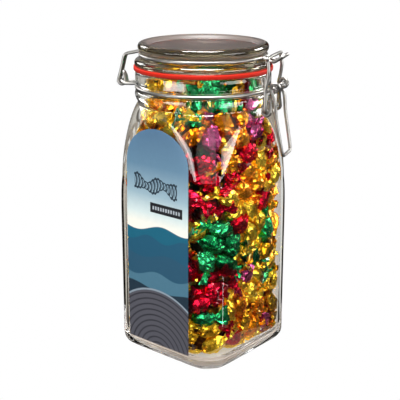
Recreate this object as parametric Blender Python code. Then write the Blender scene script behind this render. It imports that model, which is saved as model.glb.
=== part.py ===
"""Square clip-top jar filled with foil-wrapped sweets.

The origin is at the bottom centre, +Z is up, the label faces -Y and the latch sits 20 degrees round
from +X towards +Y, with the hinge opposite. Units are metres.
"""

import math
import random

import bmesh
import bpy
from mathutils import Vector

MM = 0.001

# Glass body: a square with round corners under a round shoulder and neck
HALF_WIDTH = 49.4 * MM
CORNER_RADIUS = 23.0 * MM
HEEL_RADIUS = 11.0 * MM
WALL = 3.3 * MM
BASE_THICKNESS = 6.0 * MM
INNER_HEEL_RADIUS = 9.0 * MM
SHOULDER_BOTTOM_Z = 131.0 * MM
WAIST_Z = 185.8 * MM
WAIST_RADIUS = 46.3 * MM
SHOULDER_RADIUS = 60.6 * MM
SHOULDER_POWER = 1.42
SHOULDER_WALL = 3.8 * MM
BLEND = 0.7 * MM
MOUTH_RADIUS = WAIST_RADIUS - SHOULDER_WALL
RIM_Z = 208.5 * MM

# Outside of the neck as radius and height in mm, from the waist up to the rim
NECK_OUTLINE = (
    (47.2, 187.4),
    (48.2, 189.6),
    (48.8, 192.2),
    (48.2, 194.4),
    (46.6, 195.3),
    (46.0, 196.9),
    (46.6, 198.5),
    (48.2, 199.4),
    (48.3, 207.2),
    (47.3, 208.5),
)

# Lid, gasket and label
LID_OUTLINE = (
    (48.3, 212.3),
    (48.8, 213.6),
    (48.4, 215.4),
    (46.6, 216.7),
    (44.0, 217.6),
    (43.0, 219.5),
    (44.0, 221.4),
    (45.6, 222.7),
    (46.3, 225.0),
    (45.6, 227.1),
    (43.6, 228.1),
    (41.0, 227.5),
    (38.8, 225.8),
    (36.4, 225.2),
)
LID_UNDERSIDE = (
    (28.0, 218.8),
    (34.0, 216.8),
    (36.4, 212.4),
    (36.9, 207.6),
    (38.4, 206.8),
    (39.8, 207.6),
    (40.3, 212.3),
)
LID_TOP_Z = 225.2 * MM
LID_INSIDE_Z = 219.2 * MM
GASKET_INNER_RADIUS = 41.0 * MM
GASKET_OUTER_RADIUS = 49.5 * MM
GASKET_Z = (208.85 * MM, 211.95 * MM)
LABEL_HALF_WIDTH = 29.0 * MM
LABEL_CENTRE_X = -1.0 * MM
LABEL_BOTTOM_Z = 11.7 * MM
LABEL_SIDE_Z = 148.5 * MM
LABEL_TOP_Z = 172.9 * MM
LABEL_THICKNESS = 0.25 * MM
GAP = 0.3 * MM

# Wires
WIRE_RADIUS = 1.2 * MM
WIRE_SIDES = 6
LATCH_ANGLE = math.radians(20.0)
HINGE_ANGLE = LATCH_ANGLE + math.pi
NECK_WIRE_RADIUS = 47.6 * MM
NECK_WIRE_Z = 196.9 * MM
LID_WIRE_RADIUS = 44.6 * MM
LID_WIRE_Z = 219.5 * MM
EYE_RADIUS = 2.8 * MM
HINGE_REACH = 63.1 * MM
HINGE_Z = 197.1 * MM
BRACKET_HALF_SPAN = 4.0 * MM
ARM_OFFSET = 1.4 * MM
LEVER_REACH = 56.3 * MM
LEVER_Z = 200.4 * MM
LEG_OFFSET = 12.3 * MM
COIL_OFFSET = 9.7 * MM
EYE_OFFSET = 12.9 * MM
STUB_OFFSET = 6.9 * MM
STUB_END = 14.2 * MM
LINK_REACH = 50.9 * MM
LINK_Z = 183.9 * MM
LINK_OFFSET = 16.4 * MM
BAR_REACH = 52.2 * MM
BAR_Z = 221.0 * MM
BAR_HALF_SPAN = 15.6 * MM
NOSE_OFFSET = 5.0 * MM
GRIP_REACH = 62.6 * MM
GRIP_Z = 152.4 * MM
GRIP_HALF_SPAN = 10.6 * MM

# Wire paths as reach from the axis and height in mm, each in the order that its wire runs
BRACKET_PATH = ((53.0, 195.8), (59.6, 195.6))
STUB_PATH = ((50.4, 197.3), (54.6, 199.4))
NOSE_PATH = ((47.4, 218.9), (50.4, 217.4), (53.6, 217.3), (56.8, 219.2))
NOSE_TIP = ((59.6, 221.2), (61.2, 222.1))
ARM_PATH = ((48.6, 219.2), (54.0, 218.0), (59.0, 216.8), (60.9, 214.8), (63.2, 206.2))
HAIRPIN_PATH = ((60.9, 200.6), (61.8, 202.8), (62.2, 203.7))
BAIL_PATH = ((51.2, 191.0), (50.9, 198.7), (52.3, 206.0), (53.0, 212.5))
COIL_PATH = ((53.6, 193.4), (54.8, 196.6))
LEG_TOP_PATH = ((54.6, 196.6), (56.6, 191.5))

# Sweets: a drum-shaped body between two fanned twists of foil
SWEET_HALF_BODY = 8.5 * MM
SWEET_RADIUS = 6.4 * MM
SWEET_HALF_LENGTH = 18.0 * MM
SWEET_SIDES = 4
SWEET_ROWS = 9
SWEETS_PER_ROW = 8
SWEET_TILT = 0.8
TOP_SWEETS = 4
TOP_REACH = 21.0 * MM
FILL_BOTTOM_Z = 11.0 * MM
FILL_TOP_Z = 204.5 * MM
WALL_CLEARANCE = 1.1 * MM
CORE_DEPTH = 7.5 * MM
CORE_SIDES = 16
CORE_LEVELS = 5
SEED = 7

# Angles of one eighth of the square outline: the flat ends where the round corner starts
FLAT_ANGLE = math.atan2(HALF_WIDTH - CORNER_RADIUS, HALF_WIDTH)
EIGHTH = (0.0, 0.4 * FLAT_ANGLE, 0.75 * FLAT_ANGLE, FLAT_ANGLE, (FLAT_ANGLE + math.pi / 4) / 2)


def clear_scene():
    for item in list(bpy.data.objects):
        bpy.data.objects.remove(item, do_unlink=True)


def material(name, colour, roughness, metallic=0.0, transmission=0.0):
    made = bpy.data.materials.new(name)
    made.use_nodes = True
    shader = made.node_tree.nodes["Principled BSDF"]
    shader.inputs["Base Color"].default_value = (*colour, 1.0)
    shader.inputs["Roughness"].default_value = roughness
    shader.inputs["Metallic"].default_value = metallic
    shader.inputs["Transmission Weight"].default_value = transmission
    return made


def mesh_object(name, points, faces, surface):
    """Make one closed mesh object with its faces pointing out."""
    mesh = bpy.data.meshes.new(name)
    mesh.from_pydata([tuple(p) for p in points], [], faces)
    shell = bmesh.new()
    shell.from_mesh(mesh)
    bmesh.ops.recalc_face_normals(shell, faces=shell.faces)
    shell.to_mesh(mesh)
    shell.free()
    made = bpy.data.objects.new(name, mesh)
    bpy.context.collection.objects.link(made)
    if surface:
        mesh.materials.append(surface)
    mesh.shade_smooth()
    mesh.set_sharp_from_angle(angle=math.radians(40))
    return made


def rings_to_faces(ring_count, around, closed=False):
    """Quads between successive rings of points."""
    faces = []
    last = ring_count if closed else ring_count - 1
    for ring in range(last):
        low = ring * around
        high = (ring + 1) % ring_count * around
        for i in range(around):
            j = (i + 1) % around
            faces.append((low + i, low + j, high + j, high + i))
    return faces


def capped_rings(rings):
    """Points and faces of a tube of rings, each end closed by a fan round its middle."""
    around = len(rings[0])
    points = [p for ring in rings for p in ring]
    faces = rings_to_faces(len(rings), around)
    for ring, start in ((rings[0], 0), (rings[-1], (len(rings) - 1) * around)):
        middle = len(points)
        points.append(sum((Vector(p) for p in ring), Vector()) / around)
        faces += [(start + i, start + (i + 1) % around, middle) for i in range(around)]
    return points, faces


def square_radius(angle, half, corner):
    """Distance from the axis to a square outline with round corners, in the direction of angle."""
    folded = abs((angle + math.pi / 4) % (math.pi / 2) - math.pi / 4)
    if math.tan(folded) * half <= half - corner:
        return half / math.cos(folded)
    reach = math.sqrt(2) * (half - corner)
    turn = folded - math.pi / 4
    return reach * math.cos(turn) + math.sqrt(corner**2 - (reach * math.sin(turn)) ** 2)


def shoulder_radius(z):
    """Radius of the round shoulder, which narrows to the waist."""
    share = min(max((z - SHOULDER_BOTTOM_Z) / (WAIST_Z - SHOULDER_BOTTOM_Z), 0.0), 1.0)
    drop = (1.0 - share**SHOULDER_POWER) ** (1.0 / SHOULDER_POWER)
    return WAIST_RADIUS + (SHOULDER_RADIUS - WAIST_RADIUS) * drop


def heel_inset(z, bottom, radius):
    """How far the round bottom edge draws the outline in at height z."""
    below = min(max(bottom + radius - z, 0.0), radius)
    return radius - math.sqrt(radius**2 - below**2)


def blended(a, b):
    """The smaller of two radii, with a small round where they meet."""
    return (a + b - math.sqrt((a - b) ** 2 + BLEND**2)) / 2


def outer_radius(angle, z):
    inset = heel_inset(z, 0.0, HEEL_RADIUS)
    square = square_radius(angle, HALF_WIDTH - inset, CORNER_RADIUS - inset)
    return blended(square, shoulder_radius(z)) if z > SHOULDER_BOTTOM_Z - 5 * MM else square


def inner_radius(angle, z):
    if z >= WAIST_Z:
        return MOUTH_RADIUS
    inset = WALL + heel_inset(z, BASE_THICKNESS, INNER_HEEL_RADIUS)
    square = square_radius(angle, HALF_WIDTH - inset, CORNER_RADIUS - inset)
    return min(square, shoulder_radius(z) - SHOULDER_WALL)


def outline_angles():
    """Angles round the jar, closer together at its round corners."""
    angles = []
    for quarter in range(4):
        middle = quarter * math.pi / 2
        angles += [middle + a for a in EIGHTH]
        angles += [middle + math.pi / 2 - a for a in reversed(EIGHTH[1:])]
        angles.insert(len(angles) - len(EIGHTH) + 1, middle + math.pi / 4)
    return angles


def ring_at(angles, radius_of, z):
    return [(radius_of(a, z) * math.cos(a), radius_of(a, z) * math.sin(a), z) for a in angles]


def arc_heights(bottom, radius, steps):
    return [bottom + radius * (1.0 - math.cos(math.pi / 2 * i / steps)) for i in range(steps + 1)]


def spread(low, high, count):
    return [low + (high - low) * i / (count - 1) for i in range(count)]


def make_jar_glass(surface):
    angles = outline_angles()
    outside = arc_heights(0.0, HEEL_RADIUS, 4) + spread(SHOULDER_BOTTOM_Z, WAIST_Z, 9)
    rings = [ring_at(angles, outer_radius, z) for z in outside]
    rings += [ring_at(angles, lambda a, z, r=r: r * MM, z * MM) for r, z in NECK_OUTLINE]
    rings.append(ring_at(angles, lambda a, z: MOUTH_RADIUS + 0.9 * MM, RIM_Z))
    rings.append(ring_at(angles, inner_radius, RIM_Z - 1.1 * MM))
    inside = spread(WAIST_Z, SHOULDER_BOTTOM_Z, 6)
    inside += reversed(arc_heights(BASE_THICKNESS, INNER_HEEL_RADIUS, 3))
    rings += [ring_at(angles, inner_radius, z) for z in inside]
    points, faces = capped_rings(rings)
    return mesh_object("jar_glass", points, faces, surface)


def label_outline(share, low=False):
    """Point of the label's edge: x across by share from -1 to 1, z along the arch or the bottom."""
    x = LABEL_CENTRE_X + share * LABEL_HALF_WIDTH
    if low:
        return x, LABEL_BOTTOM_Z
    rise = math.sqrt(max(0.0, 1.0 - share**2))
    return x, LABEL_SIDE_Z + (LABEL_TOP_Z - LABEL_SIDE_Z) * rise


def wall_point(x, z, offset):
    """Point in front of the label face of the glass, at x and z, with the given gap to it."""
    y = HALF_WIDTH
    for _ in range(6):
        radius = outer_radius(math.atan2(y, x), z)
        y = math.sqrt(radius**2 - x**2)
    return x, -y - offset, z


def make_label(surface):
    """Thin arched panel that follows the glass."""
    shares = [-math.cos(math.pi * i / 12) for i in range(13)]
    columns = []
    for share in shares:
        x, top = label_outline(share)
        bottom = label_outline(share, low=True)[1]
        columns.append([(x, z) for z in [bottom] + spread(SHOULDER_BOTTOM_Z, top, 3)])
    near = [[wall_point(x, z, GAP) for x, z in column] for column in columns]
    far = [[wall_point(x, z, GAP + LABEL_THICKNESS) for x, z in column] for column in columns]
    rings = [side + side_far[::-1] for side, side_far in zip(near, far)]
    around = len(rings[0])
    half = around // 2
    points = [p for ring in rings for p in ring]
    faces = rings_to_faces(len(rings), around)
    for start, turn in ((0, 1), ((len(rings) - 1) * around, -1)):
        for i in range(half - 1):
            ends = (start + i, start + i + 1, start + around - 2 - i, start + around - 1 - i)
            faces.append(ends[::turn])
    return mesh_object("label", points, faces, surface)


def turned_solid(name, outline, surface, steps=40, top_z=None, bottom_z=None):
    """Turn an outline of radius and height about the axis; without ends it closes on itself."""
    angles = [2 * math.pi * i / steps for i in range(steps)]
    rings = [ring_at(angles, lambda a, z, r=r: r, z) for r, z in outline]
    points = [p for ring in rings for p in ring]
    closed = top_z is None
    faces = rings_to_faces(len(rings), steps, closed)
    if not closed:
        for z, start in ((bottom_z, 0), (top_z, (len(rings) - 1) * steps)):
            middle = len(points)
            points.append((0.0, 0.0, z))
            faces += [(start + i, start + (i + 1) % steps, middle) for i in range(steps)]
    return mesh_object(name, points, faces, surface)


def make_lid_glass(surface):
    outline = [(r * MM, z * MM) for r, z in LID_UNDERSIDE + LID_OUTLINE]
    return turned_solid("lid_glass", outline, surface, top_z=LID_TOP_Z, bottom_z=LID_INSIDE_Z)


def make_gasket(surface):
    low, high = GASKET_Z
    outline = (
        (GASKET_INNER_RADIUS, low),
        (GASKET_OUTER_RADIUS, low),
        (GASKET_OUTER_RADIUS, high),
        (GASKET_INNER_RADIUS, high),
    )
    return turned_solid("gasket", outline, surface)


def placed(angle, reach, offset, z):
    """World point at a reach along a direction, an offset across it and a height."""
    x = reach * math.cos(angle) - offset * math.sin(angle)
    y = reach * math.sin(angle) + offset * math.cos(angle)
    return Vector((x, y, z))


def smooth_path(points, steps):
    """Catmull-Rom curve through the points."""
    padded = [2 * points[0] - points[1]] + list(points) + [2 * points[-1] - points[-2]]
    path = []
    for i in range(1, len(padded) - 2):
        a, b, c, d = padded[i - 1 : i + 3]
        for step in range(steps):
            t = step / steps
            path.append(
                0.5 * (2 * b + (c - a) * t + (2 * a - 5 * b + 4 * c - d) * t**2)
                + 0.5 * (3 * b - a - 3 * c + d) * t**3
            )
    path.append(points[-1])
    return path


def wire(points, closed=False):
    """Tube of the wire's radius along a path, as an unnamed object."""
    count = len(points)
    rings = []
    side = None
    for i, point in enumerate(points):
        before = points[i - 1] if closed or i > 0 else point
        after = points[(i + 1) % count] if closed or i < count - 1 else point
        along = (after - before).normalized()
        if side is None:
            guide = Vector((0, 0, 1)) if abs(along.z) < 0.8 else Vector((1, 0, 0))
            side = along.cross(guide).normalized()
        side = (side - along * side.dot(along)).normalized()
        across = along.cross(side)
        turns = [2 * math.pi * k / WIRE_SIDES for k in range(WIRE_SIDES)]
        rings.append(
            [point + WIRE_RADIUS * (side * math.cos(t) + across * math.sin(t)) for t in turns]
        )
    if closed:
        flat = [p for ring in rings for p in ring]
        return mesh_object("strand", flat, rings_to_faces(count, WIRE_SIDES, True), None)
    return mesh_object("strand", *capped_rings(rings), None)


def strand(table, offset):
    """Reach, offset and height of the points of a wire path."""
    return [(r * MM, offset, z * MM) for r, z in table]


def wire_ring(radius, z, steps=40):
    turns = [2 * math.pi * i / steps for i in range(steps)]
    return wire([Vector((radius * math.cos(t), radius * math.sin(t), z)) for t in turns], True)


def turn_round(reach, z, start, end, steps):
    """Reaches and heights on a circle of the eye's radius, between two angles in degrees."""
    turns = [math.radians(start + (end - start) * i / steps) for i in range(steps + 1)]
    return [(reach + EYE_RADIUS * math.cos(t), z + EYE_RADIUS * math.sin(t)) for t in turns]


def fused(name, strands, surface, solver="EXACT"):
    """Join overlapping pieces into one solid by one Boolean union on a collection."""
    base = strands[0]
    others = bpy.data.collections.new(name + "_pieces")
    for piece in strands[1:]:
        bpy.context.collection.objects.unlink(piece)
        others.objects.link(piece)
    bpy.context.scene.collection.children.link(others)
    union = base.modifiers.new("union", "BOOLEAN")
    union.operation = "UNION"
    union.solver = solver
    union.operand_type = "COLLECTION"
    union.collection = others
    if solver == "EXACT":
        union.use_self = True
    graph = bpy.context.evaluated_depsgraph_get()
    graph.update()
    mesh = bpy.data.meshes.new_from_object(base.evaluated_get(graph))
    base.modifiers.clear()
    for piece in strands:
        bpy.data.objects.remove(piece, do_unlink=True)
    bpy.data.collections.remove(others)
    keep_outer_shell(mesh)
    mesh.name = name
    mesh.materials.clear()
    mesh.materials.append(surface)
    made = bpy.data.objects.new(name, mesh)
    bpy.context.collection.objects.link(made)
    return made


def keep_outer_shell(mesh):
    """Drop loose scraps and fill sealed hollows: only the shell of most points stays."""
    shell = bmesh.new()
    shell.from_mesh(mesh)
    bmesh.ops.triangulate(shell, faces=shell.faces)
    bmesh.ops.dissolve_degenerate(shell, dist=1e-6, edges=shell.edges)
    bmesh.ops.triangulate(shell, faces=shell.faces)
    left = set(shell.verts)
    groups = []
    while left:
        start = left.pop()
        group = {start}
        front = [start]
        while front:
            for edge in front.pop().link_edges:
                for point in edge.verts:
                    if point in left:
                        left.discard(point)
                        group.add(point)
                        front.append(point)
        groups.append(group)
    largest = max(groups, key=len)
    scrap = [point for group in groups if group is not largest for point in group]
    bmesh.ops.delete(shell, geom=scrap, context="VERTS")
    shell.to_mesh(mesh)
    shell.free()


def mirrored(angle, side, middle=()):
    """World path from (reach, offset, height) points of one side to the same points of the other."""
    path = [placed(angle, r, w, z) for r, w, z in side]
    path += [placed(angle, r, w, z) for r, w, z in middle]
    return path + [placed(angle, r, -w, z) for r, w, z in reversed(side)]


def make_neck_ring(surface):
    """Wire round the neck, with the narrow loop of the hinge behind and two stub axles in front."""
    start = math.sqrt(NECK_WIRE_RADIUS**2 - BRACKET_HALF_SPAN**2)
    side = [(start, BRACKET_HALF_SPAN, NECK_WIRE_Z)]
    side += strand(BRACKET_PATH, BRACKET_HALF_SPAN)
    side.append((HINGE_REACH - 0.2 * MM, BRACKET_HALF_SPAN - 1.0 * MM, HINGE_Z - 0.1 * MM))
    bar = mirrored(HINGE_ANGLE, side, ((HINGE_REACH, 0.0, HINGE_Z),))
    pieces = [wire_ring(NECK_WIRE_RADIUS, NECK_WIRE_Z), wire(smooth_path(bar, 2))]
    start = math.sqrt(NECK_WIRE_RADIUS**2 - STUB_OFFSET**2)
    stub = [(start, STUB_OFFSET, NECK_WIRE_Z)] + strand(STUB_PATH, STUB_OFFSET)
    stub.append((LEVER_REACH, STUB_OFFSET + 1.5 * MM, LEVER_Z))
    stub.append((LEVER_REACH, STUB_END, LEVER_Z))
    for way in (-1, 1):
        path = [placed(LATCH_ANGLE, r, way * w, z) for r, w, z in stub]
        pieces.append(wire(smooth_path(path, 2)))
    return fused("neck_ring", pieces, surface)


def make_lid_ring(surface):
    """Wire round the lid, with a looped nose in front and a hairpin behind that hooks the hinge."""
    start = math.sqrt(LID_WIRE_RADIUS**2 - NOSE_OFFSET**2)
    shoulder, tip = strand(NOSE_TIP, 0.0)
    side = [(start, NOSE_OFFSET, LID_WIRE_Z)] + strand(NOSE_PATH, NOSE_OFFSET)
    side.append((shoulder[0], NOSE_OFFSET - 1.0 * MM, shoulder[2]))
    nose = mirrored(LATCH_ANGLE, side, (tip,))
    start = math.sqrt(LID_WIRE_RADIUS**2 - ARM_OFFSET**2)
    side = [(start, ARM_OFFSET, LID_WIRE_Z)] + strand(ARM_PATH, ARM_OFFSET)
    side += [(r, ARM_OFFSET, z) for r, z in turn_round(HINGE_REACH, HINGE_Z, 0, -180, 4)]
    first, shoulder, tip = strand(HAIRPIN_PATH, 0.0)
    side.append((first[0], ARM_OFFSET, first[2]))
    side.append((shoulder[0], ARM_OFFSET * 0.8, shoulder[2]))
    hairpin = mirrored(HINGE_ANGLE, side, (tip,))
    pieces = [wire_ring(LID_WIRE_RADIUS, LID_WIRE_Z), wire(smooth_path(nose, 2))]
    pieces.append(wire(smooth_path(hairpin, 2)))
    return fused("lid_ring", pieces, surface)


def named_wire(name, path, surface):
    """One bent wire as a finished node."""
    made = wire(smooth_path(path, 2))
    made.name = name
    made.data.name = name
    made.data.materials.append(surface)
    return made


def make_link(surface):
    """Bail that lies over the nose, with its two feet turned in through the lever's eyes."""
    side = [
        (LINK_REACH, EYE_OFFSET - 1.9 * MM, LINK_Z),
        (LINK_REACH, LINK_OFFSET - 1.2 * MM, LINK_Z),
        (LINK_REACH + 0.1 * MM, LINK_OFFSET, LINK_Z + 1.6 * MM),
    ]
    side += strand(BAIL_PATH, LINK_OFFSET)
    side.append((BAR_REACH, LINK_OFFSET - 0.2 * MM, BAR_Z - 1.9 * MM))
    side.append((BAR_REACH, BAR_HALF_SPAN - 0.9 * MM, BAR_Z))
    return named_wire("link", mirrored(LATCH_ANGLE, side), surface)


def make_lever(surface):
    """Handle whose wire coils once round each stub axle and runs down to an open eye."""
    side = [(r, EYE_OFFSET, z) for r, z in turn_round(LINK_REACH, LINK_Z, -250, 0, 5)]
    side.append((53.4 * MM, EYE_OFFSET - 1.5 * MM, 189.5 * MM))
    side += strand(COIL_PATH, COIL_OFFSET)
    for i, (r, z) in enumerate(turn_round(LEVER_REACH, LEVER_Z, -70, 180, 5)):
        share = min(i / 4, 1.0)
        side.append((r, COIL_OFFSET + (LEG_OFFSET - COIL_OFFSET) * share, z))
    side += strand(LEG_TOP_PATH, LEG_OFFSET)
    side += [
        (57.8 * MM, LEG_OFFSET - 0.3 * MM, 179.5 * MM),
        (60.4 * MM, LEG_OFFSET - 0.8 * MM, 165.0 * MM),
        (GRIP_REACH - 0.4 * MM, GRIP_HALF_SPAN, GRIP_Z + 2.6 * MM),
        (GRIP_REACH, GRIP_HALF_SPAN - 2.2 * MM, GRIP_Z + 0.4 * MM),
    ]
    return named_wire("lever", mirrored(LATCH_ANGLE, side, ((GRIP_REACH, 0.0, GRIP_Z),)), surface)


def sweet_rings():
    """Cross-sections of one wrapped sweet lying along X: position, half-width and half-depth."""
    neck = SWEET_HALF_BODY + 1.8 * MM
    body = SWEET_HALF_BODY - 2.6 * MM
    half = (
        (SWEET_HALF_LENGTH, 6.2 * MM, 1.7 * MM),
        (neck, 2.4 * MM, 2.4 * MM),
        (body, SWEET_RADIUS, SWEET_RADIUS),
    )
    return half + tuple((-x, a, b) for x, a, b in reversed(half))


def place_sweet(rng, centre, normal, spin, scale):
    """One sweet lying against the wall, its foil ends bent to follow the glass."""
    up = Vector((0, 0, 1)) if abs(normal.z) < 0.9 else Vector((1, 0, 0))
    level = up.cross(normal).normalized()
    rise = normal.cross(level)
    along = level * math.cos(spin) + rise * math.sin(spin)
    across = normal.cross(along)
    twist = rng.uniform(-0.5, 0.5)
    slack = rng.uniform(0.0, 0.5) * MM
    rings = []
    for x, wide, deep in sweet_rings():
        turns = [2 * math.pi * k / SWEET_SIDES + twist for k in range(SWEET_SIDES)]
        middle = centre + scale * x * along
        flat = [scale * (across * wide * math.cos(t) + normal * deep * math.sin(t)) for t in turns]
        rings.append(drawn_in([middle + offset for offset in flat], WALL_CLEARANCE + slack))
    points, faces = capped_rings(rings)
    return mesh_object("sweet", points, faces, None)


def drawn_in(ring, clearance):
    """Move a ring of points inwards, as one, until all of it clears the glass and the fill line."""
    for _ in range(3):
        low = BASE_THICKNESS + clearance - min(p.z for p in ring)
        high = max(p.z for p in ring) - (FILL_TOP_Z - clearance)
        lift = max(low, 0.0) - max(high, 0.0)
        ring = [p + Vector((0.0, 0.0, lift)) for p in ring]
        excess = 0.0
        for p in ring:
            limit = inner_radius(math.atan2(p.y, p.x), p.z) - clearance
            excess = max(excess, math.hypot(p.x, p.y) - limit)
        middle = sum(ring, Vector()) / len(ring)
        inward = Vector((-middle.x, -middle.y, 0.0))
        if excess > 0.0 and inward.length > 0.0:
            ring = [p + inward.normalized() * excess for p in ring]
    return ring


def make_core():
    """Plain filling that the sweets are fused to, a little behind the wall."""
    angles = [2 * math.pi * (i + 0.5) / CORE_SIDES for i in range(CORE_SIDES)]
    heights = spread(FILL_BOTTOM_Z, FILL_TOP_Z - CORE_DEPTH, CORE_LEVELS)
    rings = [ring_at(angles, lambda a, z: inner_radius(a, z) - CORE_DEPTH, z) for z in heights]
    points, faces = capped_rings(rings)
    return mesh_object("core", points, faces, None)


def make_sweets(surface):
    """Rows of sweets round the wall, and a few on top, fused to the core."""
    rng = random.Random(SEED)
    pieces = [make_core()]
    low = BASE_THICKNESS + SWEET_RADIUS + 1.5 * MM
    high = FILL_TOP_Z - SWEET_RADIUS - 1.5 * MM
    for row in range(SWEET_ROWS):
        level = low + (high - low) * row / (SWEET_ROWS - 1)
        for place in range(SWEETS_PER_ROW):
            turn = (place + 0.5 * (row % 2) + rng.uniform(-0.12, 0.12)) / SWEETS_PER_ROW
            angle = 2 * math.pi * turn
            z = level + rng.uniform(-3.0, 3.0) * MM
            normal = Vector((math.cos(angle), math.sin(angle), 0.0))
            reach = inner_radius(angle, z) - WALL_CLEARANCE - SWEET_RADIUS
            centre = Vector((reach * normal.x, reach * normal.y, z))
            spin = rng.uniform(-SWEET_TILT, SWEET_TILT)
            pieces.append(place_sweet(rng, centre, normal, spin, rng.uniform(0.92, 1.06)))
    for place in range(TOP_SWEETS):
        angle = 2 * math.pi * place / TOP_SWEETS
        centre = Vector((TOP_REACH * math.cos(angle), TOP_REACH * math.sin(angle), high))
        pieces.append(place_sweet(rng, centre, Vector((0, 0, 1)), angle + math.pi / 2, 1.0))
    return fused("sweets", pieces, surface, solver="MANIFOLD")


def make_part():
    clear_scene()
    glass = material("clear_glass", (0.93, 0.95, 0.95), 0.03, transmission=1.0)
    steel = material("bright_wire", (0.62, 0.62, 0.62), 0.22, metallic=1.0)
    rubber = material("red_rubber", (0.62, 0.03, 0.01), 0.45)
    print_paper = material("label_print", (0.16, 0.28, 0.36), 0.45)
    foil = material("gold_foil", (0.75, 0.46, 0.04), 0.25, metallic=1.0)
    make_jar_glass(glass)
    make_label(print_paper)
    make_lid_glass(glass.copy())
    make_gasket(rubber)
    make_neck_ring(steel)
    make_lid_ring(steel.copy())
    make_link(steel.copy())
    make_lever(steel.copy())
    make_sweets(foil)


make_part()
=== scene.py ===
import math

import bpy
import numpy as np
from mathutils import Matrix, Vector


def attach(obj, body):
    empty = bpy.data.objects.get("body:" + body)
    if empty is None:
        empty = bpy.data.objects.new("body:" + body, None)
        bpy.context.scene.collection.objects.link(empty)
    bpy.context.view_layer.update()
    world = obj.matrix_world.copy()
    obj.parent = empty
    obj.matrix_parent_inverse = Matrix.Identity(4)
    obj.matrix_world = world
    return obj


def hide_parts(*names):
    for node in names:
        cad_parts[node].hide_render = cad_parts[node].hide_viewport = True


# A square clip-top jar full of foil-wrapped sweets. Everything is in metres in the CAD frame:
# the label faces -Y, the latch is 20 degrees round from +X towards +Y and the hinge is opposite it.

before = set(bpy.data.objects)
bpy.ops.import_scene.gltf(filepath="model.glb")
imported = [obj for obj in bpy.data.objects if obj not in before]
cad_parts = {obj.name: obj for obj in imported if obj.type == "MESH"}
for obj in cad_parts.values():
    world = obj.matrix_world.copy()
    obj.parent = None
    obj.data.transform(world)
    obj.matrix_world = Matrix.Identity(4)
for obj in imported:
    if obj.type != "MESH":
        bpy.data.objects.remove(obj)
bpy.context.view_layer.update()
mm = 0.001
print("frame loaded")


# Small tools used by every piece

def linearColour(hexColour):
    # an sRGB hex colour as linear red, green, blue and alpha 1
    parts = np.array([int(hexColour[i:i + 2], 16) / 255 for i in (1, 3, 5)])
    low = parts / 12.92
    high = ((parts + 0.055) / 1.055) ** 2.4
    return (*np.where(parts <= 0.04045, low, high), 1.0)


def addNode(tree, kind, values=None):
    # one node; each value goes to a property of the node or, by name or number, to one of its inputs,
    # which takes a number, a colour, an output of another node, or a node for its first output
    made = tree.nodes.new(kind)
    for key, value in (values or {}).items():
        if isinstance(value, bpy.types.Node):
            tree.links.new(value.outputs[0], made.inputs[key])
        elif isinstance(value, bpy.types.NodeSocket):
            tree.links.new(value, made.inputs[key])
        elif isinstance(key, str) and hasattr(made, key):
            setattr(made, key, value)
        else:
            made.inputs[key].default_value = value
    return made


def newMaterial(name):
    # an empty node tree with its output
    made = bpy.data.materials.new(name)
    made.use_nodes = True
    made.node_tree.nodes.clear()
    output = addNode(made.node_tree, "ShaderNodeOutputMaterial")
    return made, made.node_tree, output


def gridFaces(rows, columns, closeRows, closeColumns, first=0):
    # quads between neighbours of a grid of points, which may close round on itself either way
    r = np.arange(rows if closeRows else rows - 1)
    c = np.arange(columns if closeColumns else columns - 1)
    r, c = np.meshgrid(r, c, indexing="ij")
    rNext = (r + 1) % rows
    cNext = (c + 1) % columns
    quads = np.stack([r * columns + c, r * columns + cNext, rNext * columns + cNext, rNext * columns + c], -1)
    return quads.reshape(-1, 4) + first


def capFaces(ringStart, columns, poleIndex, turned):
    # a fan of triangles from one ring of points to its pole
    i = np.arange(columns)
    fan = np.stack([ringStart + i, ringStart + (i + 1) % columns, np.full(columns, poleIndex)], -1)
    return fan[:, ::-1] if turned else fan


def meshPiece(name, points, faceSets, material, smooth=True, layers=None):
    # a mesh object from arrays: points (n, 3), several arrays of faces, and named values per point
    sizes = np.concatenate([np.full(len(f), f.shape[1]) for f in faceSets])
    corners = np.concatenate([f.reshape(-1) for f in faceSets])
    mesh = bpy.data.meshes.new(name)
    mesh.vertices.add(len(points))
    mesh.vertices.foreach_set("co", np.asarray(points, np.float32).reshape(-1))
    mesh.loops.add(len(corners))
    mesh.loops.foreach_set("vertex_index", corners.astype(np.int32))
    mesh.polygons.add(len(sizes))
    mesh.polygons.foreach_set("loop_start", np.concatenate([[0], np.cumsum(sizes)[:-1]]).astype(np.int32))
    mesh.polygons.foreach_set("use_smooth", np.full(len(sizes), smooth))
    mesh.update(calc_edges=True)
    mesh.validate()
    for key, values in (layers or {}).items():
        layer = mesh.attributes.new(key, "FLOAT", "POINT")
        layer.data.foreach_set("value", np.asarray(values, np.float32))
    made = bpy.data.objects.new(name, mesh)
    bpy.context.scene.collection.objects.link(made)
    made.data.materials.append(material)
    return made


def turnedSolid(name, outline, steps, material):
    # an outline of radius and height turned about Z; its two ends are on the axis
    turns = np.linspace(0, 2 * np.pi, steps, endpoint=False)
    outline = np.asarray(outline)
    body = outline[1:-1]
    ring = np.stack([np.cos(turns), np.sin(turns)], -1)
    flat = body[:, None, :1] * ring[None]
    level = np.broadcast_to(body[:, None, 1:], (len(body), steps, 1))
    rows = np.concatenate([flat, level], -1).reshape(-1, 3)
    points = np.concatenate([rows, [[0, 0, outline[0, 1]], [0, 0, outline[-1, 1]]]])
    last = (len(body) - 1) * steps
    faces = gridFaces(len(body), steps, False, True)
    caps = np.concatenate([
        capFaces(0, steps, len(points) - 2, True), capFaces(last, steps, len(points) - 1, False),
    ])
    return meshPiece(name, points, [faces, caps], material)


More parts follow.
